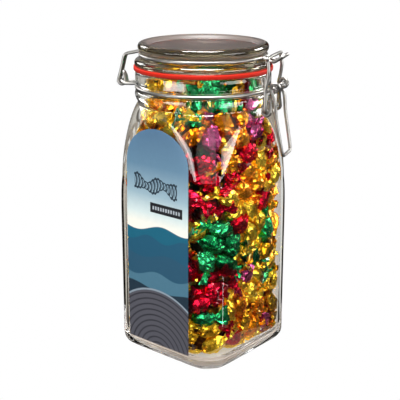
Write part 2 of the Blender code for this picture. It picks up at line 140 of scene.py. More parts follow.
def smoothCurve(points, steps):
    # Catmull-Rom curve through points: each span is the cubic of its two ends and their neighbours
    p = np.asarray(points, float)
    p = np.concatenate([2 * p[:1] - p[1:2], p, 2 * p[-1:] - p[-2:-1]])
    a, b, c, d = p[:-3, None], p[1:-2, None], p[2:-1, None], p[3:, None]
    t = np.linspace(0, 1, steps, endpoint=False)[None, :, None]
    curve = 0.5 * (2 * b + (c - a) * t + (2 * a - 5 * b + 4 * c - d) * t**2 + (3 * b - a - 3 * c + d) * t**3)
    return np.concatenate([curve.reshape(-1, p.shape[1]), p[-2:-1]])


# Camera, floor and light

cameraValues = {
    "place": (0.4247, -0.5057, 0.3145),
    "heading": (-0.6458, 0.7635),
    "pitchDown": 17.11,
    "lens": 83.9,
}


def addCamera(v):
    # looks along the heading, tipped down by the pitch
    camera = bpy.data.cameras.new("viewCamera")
    camera.lens = v["lens"]
    camera.sensor_width = 36.0
    camera.clip_start = 0.01
    made = bpy.data.objects.new("viewCamera", camera)
    bpy.context.scene.collection.objects.link(made)
    flat = Vector((*v["heading"], 0.0)).normalized()
    pitch = math.radians(v["pitchDown"])
    look = flat * math.cos(pitch) - Vector((0, 0, 1)) * math.sin(pitch)
    turn = look.to_track_quat("-Z", "Y").to_matrix().to_4x4()
    made.matrix_world = turn
    made.location = v["place"]
    bpy.context.scene.camera = made


studioValues = {
    "floorSize": 8.0,
    "floorLevel": -0.4 * mm,
    # the floor's tone round the compass, from bearing -180 to 180, for rays mirrored once
    "floorRound": [
        (0.0, "#CCC8BE"), (0.03, "#D4D0C6"), (0.06, "#54504A"), (0.10, "#141414"), (0.66, "#141414"),
        (0.70, "#F0F0EE"), (0.86, "#E8E6E2"), (0.89, "#A8A49C"), (0.93, "#E4E0D8"), (0.97, "#B4B0A6"),
        (1.0, "#CCC8BE"),
    ],
    "floorDim": "#A69C90",  # for rays mirrored more often
    "floorUnder": "#CDBEB2",  # for mirrored rays that land near the foot
    "underReach": 80 * mm,
    "floorThrough": "#DAD3CC",  # seen straight through the glass
    "backdropBearing": 135.2,
    "flagCount": 8.0,
    "flagEdge": (-0.15, -0.45),
    # brightness by the height of the direction, from straight down to straight up: what outer faces
    # mirror, what the foil within mirrors, and what is seen straight through the glass
    "outer": [
        (0.0, "#161616"), (0.42, "#1C1C1C"), (0.49, "#6A6A68"), (0.55, "#A0A09E"), (0.80, "#8C8C8C"),
        (1.0, "#2A2A2C"),
    ],
    "outerFlag": "#121214",
    "inner": [
        (0.0, "#222222"), (0.42, "#383838"), (0.48, "#E4E4E2"), (0.62, "#FFFFFF"), (0.70, "#B4B4B2"),
        (0.86, "#9E9E9C"), (1.0, "#BEBEBC"),
    ],
    "innerFlag": "#080808",
    "backdrop": [
        (0.0, "#B8B4B0"), (0.50, "#E8E8E8"), (0.58, "#FFFFFF"), (0.72, "#D0D0D0"), (0.85, "#6A6A6A"),
        (1.0, "#3A3A3A"),
    ],
    "backdropFlag": "#4A4846",
    # soft boxes: place, target, width, height and watts
    "lamps": {
        "leftLowBox": ((-0.17, -0.98, 0.12), (0, 0, 0.14), 0.66, 0.28, 3.8),
        "cornerBox": ((1.03, 0.08, 0.24), (0, 0, 0.14), 0.72, 0.30, 4.2),
        "stemFill": ((0.98, -0.32, 0.24), (0, 0, 0.14), 0.14, 0.24, 0.4),
        "topSoftbox": ((0.10, -0.20, 1.15), (0, 0, 0.2), 0.7, 0.7, 41),
        "backRightSoftbox": ((0.45, 1.05, 0.55), (0, 0, 0.12), 0.5, 0.4, 12),
        "backLeftSoftbox": ((-1.10, 0.10, 0.60), (0, 0, 0.12), 0.5, 0.4, 4.5),
        "tableGlint": ((1.00, 0.10, -0.36), (0.04, -0.02, 0.08), 0.12, 0.09, 0.22),
    },
    "bounces": {"max_bounces": 20, "glossy_bounces": 12, "transmission_bounces": 16},
}


def fillRamp(ramp, stops):
    # a colour ramp from places and hex colours
    while len(ramp.elements) > 1:
        ramp.elements.remove(ramp.elements[-1])
    ramp.elements[0].position = stops[0][0]
    ramp.elements[0].color = linearColour(stops[0][1])
    for place, colour in stops[1:]:
        ramp.elements.new(place).color = linearColour(colour)


def addFloor(v):
    # a plain white sheet lit from below, so the object stands on white with no shadow. Mirrored rays see
    # it dark, but for a light part behind on the right and a light disc under the foot, and those
    # mirrored more than once see it dim.
    material, tree, output = newMaterial("litWhiteSheet")
    where = addNode(tree, "ShaderNodeTexCoord")
    split = addNode(tree, "ShaderNodeSeparateXYZ", {0: where.outputs["Object"]})
    bearing = addNode(tree, "ShaderNodeMath", {
        "operation": "ARCTAN2", 0: split.outputs["Y"], 1: split.outputs["X"],
    })
    turn = addNode(tree, "ShaderNodeMapRange", {0: bearing, "From Min": -math.pi, "From Max": math.pi})
    once = addNode(tree, "ShaderNodeValToRGB", {0: turn})
    fillRamp(once.color_ramp, v["floorRound"])
    rays = addNode(tree, "ShaderNodeLightPath")
    within = addNode(tree, "ShaderNodeMath", {
        "operation": "GREATER_THAN", 0: rays.outputs["Transmission Depth"], 1: 0.5,
    })
    mirrored = addNode(tree, "ShaderNodeMath", {
        "operation": "GREATER_THAN", 0: rays.outputs["Glossy Depth"], 1: 0.5,
    })
    often = addNode(tree, "ShaderNodeMath", {
        "operation": "GREATER_THAN", 0: rays.outputs["Glossy Depth"], 1: 1.5,
    })
    straight = addNode(tree, "ShaderNodeMix", {
        "data_type": "RGBA", 0: within, 6: (1, 1, 1, 1), 7: linearColour(v["floorThrough"]),
    })
    dim = addNode(tree, "ShaderNodeMix", {
        "data_type": "RGBA", 0: often, 6: once, 7: linearColour(v["floorDim"]),
    })
    flat = addNode(tree, "ShaderNodeCombineXYZ", {0: split.outputs["X"], 1: split.outputs["Y"]})
    reach = addNode(tree, "ShaderNodeVectorMath", {"operation": "LENGTH", 0: flat})
    under = addNode(tree, "ShaderNodeMath", {
        "operation": "LESS_THAN", 0: reach.outputs["Value"], 1: v["underReach"],
    })
    near = addNode(tree, "ShaderNodeMix", {
        "data_type": "RGBA", 0: under, 6: dim.outputs[2], 7: linearColour(v["floorUnder"]),
    })
    seen = addNode(tree, "ShaderNodeMix", {
        "data_type": "RGBA", 0: mirrored, 6: straight.outputs[2], 7: near.outputs[2],
    })
    glow = addNode(tree, "ShaderNodeEmission", {"Strength": 1.0, "Color": seen.outputs[2]})
    tree.links.new(glow.outputs[0], output.inputs[0])
    half = v["floorSize"] / 2
    z = v["floorLevel"]
    points = np.array([(-half, -half, z), (half, -half, z), (half, half, z), (-half, half, z)])
    floor = meshPiece("studioFloor", points, [np.array([[0, 1, 2, 3]])], material, smooth=False)
    floor.visible_glossy = False


def addLamp(name, place, target, width, height, watts):
    # one soft rectangular lamp aimed at a point
    lamp = bpy.data.lights.new(name, "AREA")
    lamp.shape = "RECTANGLE"
    lamp.size = width
    lamp.size_y = height
    lamp.energy = watts
    made = bpy.data.objects.new(name, lamp)
    bpy.context.scene.collection.objects.link(made)
    made.rotation_euler = (Vector(target) - Vector(place)).to_track_quat("-Z", "Y").to_euler()
    made.location = place
    return made


def addStudio(v):
    # white to the camera; what is lit and mirrored sees a bright horizon, a dim ceiling and dark flags,
    # which stand where the cosine of the flag count times the bearing is low
    world = bpy.data.worlds.new("whiteStudio")
    world.use_nodes = True
    bpy.context.scene.world = world
    tree = world.node_tree
    tree.nodes.clear()
    output = addNode(tree, "ShaderNodeOutputWorld")
    where = addNode(tree, "ShaderNodeTexCoord")
    split = addNode(tree, "ShaderNodeSeparateXYZ", {0: where.outputs["Generated"]})
    rise = addNode(tree, "ShaderNodeMapRange", {0: split.outputs["Z"], "From Min": -1.0, "From Max": 1.0})
    bearing = addNode(tree, "ShaderNodeMath", {
        "operation": "ARCTAN2", 0: split.outputs["Y"], 1: split.outputs["X"],
    })
    turned = addNode(tree, "ShaderNodeMath", {
        "operation": "SUBTRACT", 0: bearing, 1: math.radians(v["backdropBearing"]),
    })
    waves = addNode(tree, "ShaderNodeMath", {"operation": "MULTIPLY", 0: turned, 1: v["flagCount"]})
    flagWave = addNode(tree, "ShaderNodeMath", {"operation": "COSINE", 0: waves})
    flagEdge = addNode(tree, "ShaderNodeMapRange", {
        0: flagWave, "From Min": v["flagEdge"][0], "From Max": v["flagEdge"][1],
    })
    skies = []
    for stops, flag in (("outer", "outerFlag"), ("inner", "innerFlag"), ("backdrop", "backdropFlag")):
        height = addNode(tree, "ShaderNodeValToRGB", {0: rise})
        fillRamp(height.color_ramp, v[stops])
        flagged = addNode(tree, "ShaderNodeMix", {
            "data_type": "RGBA", 0: flagEdge, 6: height, 7: linearColour(v[flag]),
        })
        skies.append(flagged.outputs[2])
    outerSky, innerSky, backdropSky = skies
    rays = addNode(tree, "ShaderNodeLightPath")
    within = addNode(tree, "ShaderNodeMath", {
        "operation": "GREATER_THAN", 0: rays.outputs["Transmission Depth"], 1: 0.5,
    })
    mirrored = addNode(tree, "ShaderNodeMath", {
        "operation": "GREATER_THAN", 0: rays.outputs["Glossy Depth"], 1: 0.5,
    })
    through = addNode(tree, "ShaderNodeMix", {"data_type": "RGBA", 0: mirrored, 6: backdropSky, 7: innerSky})
    seen = addNode(tree, "ShaderNodeMix", {
        "data_type": "RGBA", 0: within, 6: outerSky, 7: through.outputs[2],
    })
    studio = addNode(tree, "ShaderNodeBackground", {"Strength": 1.0, 0: seen.outputs[2]})
    white = addNode(tree, "ShaderNodeBackground", {"Color": (1, 1, 1, 1), "Strength": 1.0})
    chosen = addNode(tree, "ShaderNodeMixShader", {0: rays.outputs["Is Camera Ray"], 1: studio, 2: white})
    tree.links.new(chosen.outputs[0], output.inputs[0])


addCamera(cameraValues)
addFloor(studioValues)
addStudio(studioValues)
for lampName, lampFacts in studioValues["lamps"].items():
    addLamp(lampName, *lampFacts)
scene = bpy.context.scene
scene.view_settings.view_transform = "Standard"
scene.cycles.use_denoising = True
for bounceKind, bounceCount in studioValues["bounces"].items():
    setattr(scene.cycles, bounceKind, bounceCount)
print("camera, floor and light set")


# Glass

jarValues = {
    "halfWidth": 49.4 * mm,
    "cornerReach": 60.7 * mm,
    "cornerBlend": 2.6 * mm,
    "heelRadius": 10.0 * mm,
    "wall": 3.3 * mm,
    "baseThickness": 6.0 * mm,
    "innerHeelRadius": 9.0 * mm,
    "fadeFrom": 96.0 * mm,
    "shoulderBottom": 131.0 * mm,
    "waist": 185.8 * mm,
    "waistRadius": 46.3 * mm,
    "shoulderRadius": 60.6 * mm,
    "shoulderPower": 1.42,
    "shoulderSplay": 0.3,
    "shoulderWall": 3.8 * mm,
    "blend": 2.8 * mm,
    "innerBlend": 0.8 * mm,
    "throatTop": 205.0 * mm,
    "steps": 176,
    # radius and height of the neck in mm, up the outside and over the rim
    "neckOutline": [
        (46.3, 185.8), (47.2, 187.4), (48.2, 189.6), (48.8, 192.2), (48.2, 194.4), (46.6, 195.3),
        (46.0, 196.9), (46.6, 198.5), (48.2, 199.4), (48.4, 201.5), (48.3, 207.2), (47.3, 208.5),
        (43.6, 208.5), (42.5, 207.3),
    ],
    "glass": {
        "colour": "#FCFDFC",
        "refraction": 1.52,
        "ripple": 0.015,
        "rippleLength": 50 * mm,
        "rippleDepth": 2 * mm,
        "lampShade": "#F2F2F0",
        # the foot, stippled by its mould up to a level
        "footLevel": 0.5 * mm,
        "footFade": 0.4 * mm,
        "footRough": 0.55,
    },
}


def smallerOf(a, b, blend):
    # smooth minimum of two radii
    return (a + b - np.sqrt((a - b) ** 2 + blend**2)) / 2


def squareRadius(angle, half, corner, blend):
    # distance to a square outline with its corners cut flat: half / cos along the sides, corner / cos over
    # the cut, and the smooth minimum of the two
    folded = np.abs((angle + np.pi / 4) % (np.pi / 2) - np.pi / 4)
    return smallerOf(half / np.cos(folded), corner / np.cos(np.pi / 4 - folded), blend)


def shoulderReach(z, v):
    # radius of the round shoulder: a superellipse quarter from the widest circle to the waist, which
    # splays on below it
    share = np.clip((z - v["shoulderBottom"]) / (v["waist"] - v["shoulderBottom"]), 0, 1)
    drop = (1 - share ** v["shoulderPower"]) ** (1 / v["shoulderPower"])
    below = np.maximum(v["shoulderBottom"] - z, 0)
    return v["waistRadius"] + (v["shoulderRadius"] - v["waistRadius"]) * drop + v["shoulderSplay"] * below


def heelInset(z, bottom, radius):
    # how far a round bottom edge draws the outline in
    below = np.clip(bottom + radius - z, 0, radius)
    return radius - np.sqrt(radius**2 - below**2)


def outerReach(angle, z, v):
    # the outside: the square drawn in at the heel, which fades smoothly into the smaller of it and the
    # round shoulder
    inset = heelInset(z, 0.0, v["heelRadius"])
    square = squareRadius(angle, v["halfWidth"] - inset, v["cornerReach"] - inset, v["cornerBlend"])
    rise = np.clip((z - v["fadeFrom"]) / (v["shoulderBottom"] - v["fadeFrom"]), 0, 1)
    fade = rise**2 * (3 - 2 * rise)
    return square + (smallerOf(square, shoulderReach(z, v), v["blend"]) - square) * fade


def innerReach(angle, z, v, margin=0.0):
    # the cavity, or a smaller one that keeps a margin to its wall: the square and the shoulder drawn in
    # by the wall, the smooth minimum of both on the shoulder, and a circle in the neck
    inset = v["wall"] + margin + heelInset(z - margin, v["baseThickness"], v["innerHeelRadius"])
    square = squareRadius(angle, v["halfWidth"] - inset, v["cornerReach"] - inset, v["cornerBlend"])
    body = smallerOf(square, shoulderReach(z, v) - v["shoulderWall"] - margin, v["innerBlend"])
    mouth = v["waistRadius"] - v["shoulderWall"] - margin
    return np.where(z >= v["waist"], mouth, np.where(z < v["shoulderBottom"], square, body))


def jarGrid(angles, heights, reachOf):
    # points of a wall: one row per height, at the reach of each angle
    a, z = np.meshgrid(angles, heights)
    reach = reachOf(a, z)
    return np.stack([reach * np.cos(a), reach * np.sin(a), z], -1)


def makeJarGlass(v, material):
    # outside up from the foot, over the rim and down the inside, closed by a pole below and one within
    angles = np.linspace(0, 2 * np.pi, v["steps"], endpoint=False)
    quarter = np.linspace(0, np.pi / 2, 12)
    heel = v["heelRadius"] * (1 - np.cos(quarter))
    flats = np.linspace(v["heelRadius"], v["fadeFrom"], 8)[1:-1]
    shoulder = np.linspace(v["fadeFrom"], v["waist"], 84)[:-1]
    outside = jarGrid(angles, np.concatenate([heel, flats, shoulder]), lambda a, z: outerReach(a, z, v))
    neck = smoothCurve(np.array(v["neckOutline"]) * mm, 5)
    neckRows = np.stack([
        neck[:, None, 0] * np.cos(angles), neck[:, None, 0] * np.sin(angles),
        np.repeat(neck[:, 1:], len(angles), 1),
    ], -1)
    innerShoulder = np.linspace(v["waist"] - 0.01 * mm, v["shoulderBottom"], 48)
    innerHeel = v["baseThickness"] + v["innerHeelRadius"] * (1 - np.cos(quarter[::-1]))
    innerFlats = np.linspace(v["shoulderBottom"], innerHeel[0], 9)[1:-1]
    throat = np.linspace(v["throatTop"], v["waist"] + 1 * mm, 5)
    heights = np.concatenate([throat, innerShoulder, innerFlats, innerHeel])
    inside = jarGrid(angles, heights, lambda a, z: innerReach(a, z, v))
    rows = np.concatenate([outside, neckRows, inside])
    points = np.concatenate([rows.reshape(-1, 3), [[0, 0, 0], [0, 0, v["baseThickness"]]]])
    steps = len(angles)
    caps = np.concatenate([
        capFaces(0, steps, len(points) - 2, True),
        capFaces((len(rows) - 1) * steps, steps, len(points) - 1, False),
    ])
    return meshPiece("jarGlass", points, [gridFaces(len(rows), steps, False, True), caps], material)


def stippledFoot(tree, shader, split, v):
    # rough up to the foot's level, then clear
    foot = addNode(tree, "ShaderNodeMapRange", {
        0: split.outputs["Z"], "From Min": v["footLevel"], "From Max": v["footLevel"] + v["footFade"],
        "To Min": v["footRough"], "To Max": 0.0,
    })
    tree.links.new(foot.outputs[0], shader.inputs["Roughness"])


def mattDisc(tree, shader, split, v):
    # rough and tinted within the disc's radius and above its level
    flat = addNode(tree, "ShaderNodeCombineXYZ", {0: split.outputs["X"], 1: split.outputs["Y"]})
    reach = addNode(tree, "ShaderNodeVectorMath", {"operation": "LENGTH", 0: flat})
    inside = addNode(tree, "ShaderNodeMapRange", {
        0: reach.outputs["Value"], "From Min": v["discRadius"] - v["discFade"],
        "From Max": v["discRadius"] + v["discFade"], "To Min": 1.0, "To Max": 0.0,
    })
    above = addNode(tree, "ShaderNodeMath", {
        "operation": "GREATER_THAN", 0: split.outputs["Z"], 1: v["discLevel"],
    })
    matt = addNode(tree, "ShaderNodeMath", {"operation": "MULTIPLY", 0: inside, 1: above})
    dull = addNode(tree, "ShaderNodeMath", {"operation": "MULTIPLY", 0: matt, 1: v["discRough"]})
    tinted = addNode(tree, "ShaderNodeMix", {
        "data_type": "RGBA", 0: matt, 6: linearColour(v["colour"]), 7: linearColour(v["discTint"]),
    })
    tree.links.new(dull.outputs[0], shader.inputs["Roughness"])
    tree.links.new(tinted.outputs[2], shader.inputs["Base Color"])


def glassMaterial(name, v):
    # pressed soda-lime glass, fire-polished: clear and wet-looking, with a faint ripple from the mould.
    # Lamps shine through it with a light shade, as they do through a real thin wall. A foot, a matt disc
    # and a body that dims light are made where the values hold them.
    material, tree, output = newMaterial(name)
    place = addNode(tree, "ShaderNodeTexCoord").outputs["Object"]
    noise = addNode(tree, "ShaderNodeTexNoise", {
        "Scale": 1 / v["rippleLength"], "Detail": 0.5, "Vector": place,
    })
    bump = addNode(tree, "ShaderNodeBump", {
        "Strength": v["ripple"], "Distance": v["rippleDepth"], "Height": noise,
    })
    shader = addNode(tree, "ShaderNodeBsdfPrincipled", {
        "Base Color": linearColour(v["colour"]), "Roughness": 0.0, "IOR": v["refraction"],
        "Transmission Weight": 1.0, "Normal": bump,
    })
    clear = addNode(tree, "ShaderNodeBsdfTransparent", {"Color": linearColour(v["lampShade"])})
    rays = addNode(tree, "ShaderNodeLightPath")
    mixed = addNode(tree, "ShaderNodeMixShader", {0: rays.outputs["Is Shadow Ray"], 1: shader, 2: clear})
    tree.links.new(mixed.outputs[0], output.inputs[0])
    split = addNode(tree, "ShaderNodeSeparateXYZ", {0: place})
    if "footLevel" in v:
        stippledFoot(tree, shader, split, v)
    if "discLevel" in v:
        mattDisc(tree, shader, split, v)
    if "bodyDensity" in v:
        body = addNode(tree, "ShaderNodeVolumeAbsorption", {
            "Color": linearColour(v["bodyColour"]), "Density": v["bodyDensity"],
        })
        tree.links.new(body.outputs[0], output.inputs["Volume"])
    return material


jarGlass = makeJarGlass(jarValues, glassMaterial("pressedClearGlass", jarValues["glass"]))
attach(jarGlass, "jar")
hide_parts("jar_glass")
print("jar glass made")


# Lid

lidValues = {
    # radius and height in mm, from the axis to the sealing edge below, and from there over the top
    "underside": [
        (0, 219.2), (14, 219.2), (28.0, 218.8), (34.0, 216.8), (36.4, 212.4), (36.9, 207.6),
        (38.4, 206.8), (39.8, 207.6), (40.3, 211.6), (41.2, 212.3),
    ],
    "outside": [
        (48.3, 212.3), (48.8, 213.6), (48.4, 215.4), (46.6, 216.7), (44.0, 217.6), (43.0, 219.5),
        (44.0, 221.4), (45.6, 222.7), (46.3, 225.0), (45.6, 227.1), (43.6, 228.1), (41.0, 227.5),
        (38.8, 225.8), (36.4, 225.2), (20, 225.2), (0, 225.2),
    ],
    "steps": 160,
    "glass": {
        "colour": "#D8D4C4",
        "refraction": 1.52,
        "ripple": 0.05,
        "rippleLength": 50 * mm,
        "rippleDepth": 2 * mm,
        "lampShade": "#7C7870",
        # what dims light on its way through the thick glass, per metre
        "bodyColour": "#A09A7A",
        "bodyDensity": 34.0,
        # the matt disc on top
        "discRadius": 44.3 * mm,
        "discFade": 1 * mm,
        "discLevel": 223.5 * mm,
        "discRough": 0.42,
        "discTint": "#B8A4AE",
    },
}


def makeLidGlass(v, material):
    # the lid's section, smoothed in two runs that meet at the sealing edge, turned about Z
    low = smoothCurve(np.array(v["underside"]) * mm, 5)
    high = smoothCurve(np.array(v["outside"]) * mm, 6)
    return turnedSolid("lidGlass", np.concatenate([low, high]), v["steps"], material)


lidGlass = makeLidGlass(lidValues, glassMaterial("pressedLidGlass", lidValues["glass"]))
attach(lidGlass, "lid")
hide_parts("lid_glass")
print("lid glass made")


# Seal

sealValues = {
    "inner": 41.0 * mm,
    "outer": 49.5 * mm,
    "low": 208.85 * mm,
    "high": 211.95 * mm,
    "squareness": 0.3,
    "steps": 160,
    "colours": ("#A81C08", "#921405"),
    "roughness": (0.55, 0.70),
    "bloomSize": 50 / 9 * mm,
    "bloomDepth": 0.4 * mm,
}


def makeSeal(v, material):
    # a flat rubber ring with rounded edges: a section whose reach and height are powers of a cosine and a
    # sine, carried round a circle
    turns = np.linspace(0, 2 * np.pi, v["steps"], endpoint=False)
    t = np.linspace(0, 2 * np.pi, 28, endpoint=False)
    halfWide = (v["outer"] - v["inner"]) / 2
    halfHigh = (v["high"] - v["low"]) / 2
    across = np.sign(np.cos(t)) * np.abs(np.cos(t)) ** v["squareness"]
    up = np.sign(np.sin(t)) * np.abs(np.sin(t)) ** v["squareness"]
    reach = (v["outer"] + v["inner"]) / 2 + halfWide * across
    z = (v["high"] + v["low"]) / 2 + halfHigh * up
    points = np.stack([
        reach[None] * np.cos(turns[:, None]), reach[None] * np.sin(turns[:, None]),
        np.repeat(z[None], len(turns), 0),
    ], -1)
    faces = gridFaces(len(turns), len(t), True, True)
    return meshPiece("rubberSeal", points.reshape(-1, 3), [faces], material)


def rubberMaterial(v):
    # moulded natural rubber, red: soft broad sheen, a faint bloom in patches of about 5 mm
    material, tree, output = newMaterial("mouldedRedRubber")
    where = addNode(tree, "ShaderNodeTexCoord")
    bloom = addNode(tree, "ShaderNodeTexNoise", {
        "Scale": 1 / v["bloomSize"], "Detail": 3.0, "Vector": where.outputs["Object"],
    })
    fresh, worn = v["colours"]
    tone = addNode(tree, "ShaderNodeMix", {
        "data_type": "RGBA", 0: bloom, 6: linearColour(fresh), 7: linearColour(worn),
    })
    low, high = v["roughness"]
    rough = addNode(tree, "ShaderNodeMapRange", {0: bloom, "To Min": low, "To Max": high})
    bump = addNode(tree, "ShaderNodeBump", {"Strength": 0.15, "Distance": v["bloomDepth"], "Height": bloom})
    shader = addNode(tree, "ShaderNodeBsdfPrincipled", {
        "IOR": 1.52, "Specular IOR Level": 0.12, "Base Color": tone.outputs[2], "Roughness": rough,
        "Normal": bump,
    })
    tree.links.new(shader.outputs[0], output.inputs[0])
    return material


seal = makeSeal(sealValues, rubberMaterial(sealValues))
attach(seal, "lid")
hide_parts("gasket")
print("seal made")


# Wires

wireValues = {
    "radius": 1.2 * mm,
    "sides": 14,
    "latchAngle": math.radians(20),
    "hingeAngle": math.radians(200),
    # radius and height of the rings, reach and height of the three loops' middles, all in mm
    "neckRing": (47.6, 196.9),
    "lidRing": (44.6, 219.5),
    "eyeRadius": 2.8,
    "linkEye": (50.9, 183.9),
    "axleCoil": (56.3, 200.4),
    "hingeEye": (63.1, 197.1),
    # how far to the side, in mm, the loops stand: the eye, the coil's start and its width, the hinge
    "eyeAside": 12.9,
    "coilAside": 9.7,
    "coilWidth": 2.6,
    "hingeAside": 1.4,
    # half of each bend, in mm: reach, offset to the side, and height
    "bracket": [
        (47.43, 4.0, 196.9), (53.0, 4.0, 195.8), (59.6, 4.0, 195.6), (62.9, 3.0, 197.0), (63.1, 0.0, 197.1),
    ],
    "stub": [
        (47.1, 6.9, 196.9), (50.4, 6.9, 197.3), (54.6, 6.9, 199.4), (56.3, 8.4, 200.4), (56.3, 14.2, 200.4),
    ],
    "nose": [
        (44.32, 5.0, 219.5), (47.4, 5.0, 218.9), (50.4, 5.0, 217.4), (53.6, 5.0, 217.3), (56.8, 5.0, 219.2),
        (59.6, 4.0, 221.2), (61.2, 0.0, 222.1),
    ],
    "arm": [(44.58, 219.5), (48.6, 219.2), (54.0, 218.0), (59.0, 216.8), (60.9, 214.8), (63.2, 206.2)],
    "hairpin": [(60.9, 1.4, 200.6), (61.8, 1.12, 202.8), (62.2, 0.0, 203.7)],
    "link": [
        (50.9, 11.0, 183.9), (50.9, 15.2, 183.9), (51.0, 16.4, 185.5), (51.2, 16.4, 191.0),
        (50.9, 16.4, 198.7), (52.3, 16.4, 206.0), (53.0, 16.4, 212.5), (52.2, 16.2, 219.1),
        (52.2, 14.7, 221.0),
    ],
    "leverNeck": [(53.4, 11.4, 189.5), (53.6, 9.7, 193.4), (54.8, 9.7, 196.6)],
    "leverLeg": [
        (54.6, 12.3, 196.6), (56.6, 12.3, 191.5), (57.8, 12.0, 179.5), (60.4, 11.5, 165.0),
        (62.2, 10.6, 155.0), (62.6, 8.4, 152.8), (62.6, 0.0, 152.4),
    ],
    "colours": ("#B2B0AC", "#96938E"),
    "roughness": (0.32, 0.40),
    "spotSize": 50 / 21 * mm,
    "spotDepth": 0.2 * mm,
}


def placedPath(points, angle):
    # reach, offset and height in mm, along and across a direction, as points in metres
    p = np.asarray(points, float) * mm
    out = np.array([math.cos(angle), math.sin(angle), 0])
    side = np.array([-math.sin(angle), math.cos(angle), 0])
    return p[:, :1] * out + p[:, 1:2] * side + p[:, 2:] * np.array([0, 0, 1.0])


def bothSides(points, angle):
    # a path that ends on the middle line, carried on as its mirror image
    p = np.asarray(points, float)
    middle = p[-1:] if abs(p[-1, 1]) < 1e-6 else p[:0]
    side = p[:-1] if len(middle) else p
    return placedPath(np.concatenate([side, middle, side[::-1] * [1, -1, 1]]), angle)


def roundTurn(reach, z, start, end, steps, radius):
    # reaches and heights on a circle between two angles in degrees
    t = np.radians(np.linspace(start, end, steps + 1))
    return np.stack([reach + radius * np.cos(t), z + radius * np.sin(t)], -1)


def tubeAlong(path, radius, sides, closed):
    # circles carried along a path, each turned as little as it can be from the last; open ends are domed
    path = np.asarray(path)
    if closed:
        along = np.roll(path, -1, 0) - np.roll(path, 1, 0)
    else:
        along = np.gradient(path, axis=0)
    along /= np.linalg.norm(along, axis=1, keepdims=True)
    guide = np.array([0, 0, 1.0]) if abs(along[0, 2]) < 0.8 else np.array([1.0, 0, 0])
    side = np.cross(along[0], guide)
    sidesList = []
    for direction in along:
        side = side - direction * side.dot(direction)
        side = side / np.linalg.norm(side)
        sidesList.append(side)
    across = np.array(sidesList)
    up = np.cross(along, across)
    scale = np.ones(len(path))
    if not closed:
        dome = np.radians([75, 50, 25])
        before = path[:1] - along[:1] * radius * np.sin(dome)[:, None]
        after = path[-1:] + along[-1:] * radius * np.sin(dome[::-1])[:, None]
        path = np.concatenate([before, path, after])
        across = np.concatenate([np.repeat(across[:1], 3, 0), across, np.repeat(across[-1:], 3, 0)])
        up = np.concatenate([np.repeat(up[:1], 3, 0), up, np.repeat(up[-1:], 3, 0)])
        scale = np.concatenate([np.cos(dome), scale, np.cos(dome[::-1])])
    t = np.linspace(0, 2 * np.pi, sides, endpoint=False)
    ring = across[:, None] * np.cos(t)[None, :, None] + up[:, None] * np.sin(t)[None, :, None]
    points = path[:, None] + radius * scale[:, None, None] * ring
    return points, path


def wirePiece(name, paths, v, material):
    # several wires as one mesh, each a closed tube; the faces turn outwards
    pointSets = []
    quadSets = []
    capSets = []
    first = 0
    for path, closed in paths:
        grid, centres = tubeAlong(path, v["radius"], v["sides"], closed)
        rows, sides = grid.shape[:2]
        pointSets.append(grid.reshape(-1, 3))
        quads = gridFaces(rows, sides, closed, True, first)
        quadSets.append(quads)
        if not closed:
            poles = first + rows * sides
            ends = np.array([centres[0], centres[-1]])
            pointSets.append(ends)
            capSets.append(capFaces(first, sides, poles, True))
            capSets.append(capFaces(first + (rows - 1) * sides, sides, poles + 1, False))
            first += 2
        first += rows * sides
    faceSets = [np.concatenate(quadSets)] + ([np.concatenate(capSets)] if capSets else [])
    return meshPiece(name, np.concatenate(pointSets), faceSets, material)


def circlePath(radius, z, steps=160):
    # points of a level circle, from a radius and a height in mm
    t = np.linspace(0, 2 * np.pi, steps, endpoint=False)
    return np.stack([radius * mm * np.cos(t), radius * mm * np.sin(t), np.full(steps, z * mm)], -1)


def sideOf(path, offset):
    # reaches and heights with one offset added between them
    p = np.asarray(path, float)
    return np.stack([p[:, 0], np.full(len(p), offset), p[:, 1]], -1)


def makeNeckRing(v, material):
    # ring round the neck, the narrow loop behind that the hinge hooks, and two stub axles in front
    paths = [(circlePath(*v["neckRing"]), True)]
    paths.append((smoothCurve(bothSides(v["bracket"], v["hingeAngle"]), 8), False))
    for way in (1, -1):
        stub = np.array(v["stub"]) * [1, way, 1]
        paths.append((smoothCurve(placedPath(stub, v["latchAngle"]), 8), False))
    return wirePiece("neckWire", paths, v, material)


def makeLidRing(v, material):
    # ring round the lid, its looped nose in front and its hairpin behind
    eye = roundTurn(*v["hingeEye"], 0, -180, 10, v["eyeRadius"])
    side = np.concatenate([sideOf(v["arm"], v["hingeAside"]), sideOf(eye, v["hingeAside"]), v["hairpin"]])
    paths = [(circlePath(*v["lidRing"]), True)]
    paths.append((smoothCurve(bothSides(v["nose"], v["latchAngle"]), 8), False))
    paths.append((smoothCurve(bothSides(side, v["hingeAngle"]), 5), False))
    return wirePiece("lidWire", paths, v, material)


def makeLink(v, material):
    # the bail over the nose
    path = smoothCurve(bothSides(v["link"], v["latchAngle"]), 8)
    return wirePiece("linkWire", [(path, False)], v, material)


def makeLever(v, material):
    # the handle: an open eye, a coil round the stub axle and a long leg, and the same back up
    eye = sideOf(roundTurn(*v["linkEye"], -250, 0, 14, v["eyeRadius"]), v["eyeAside"])
    coilTurn = roundTurn(*v["axleCoil"], -70, 180, 15, v["eyeRadius"])
    offsets = v["coilAside"] + v["coilWidth"] * np.minimum(np.arange(len(coilTurn)) / 12, 1)
    coil = np.stack([coilTurn[:, 0], offsets, coilTurn[:, 1]], -1)
    side = np.concatenate([eye, v["leverNeck"], coil, v["leverLeg"]])
    path = smoothCurve(bothSides(side, v["latchAngle"]), 5)
    return wirePiece("leverWire", [(path, False)], v, material)


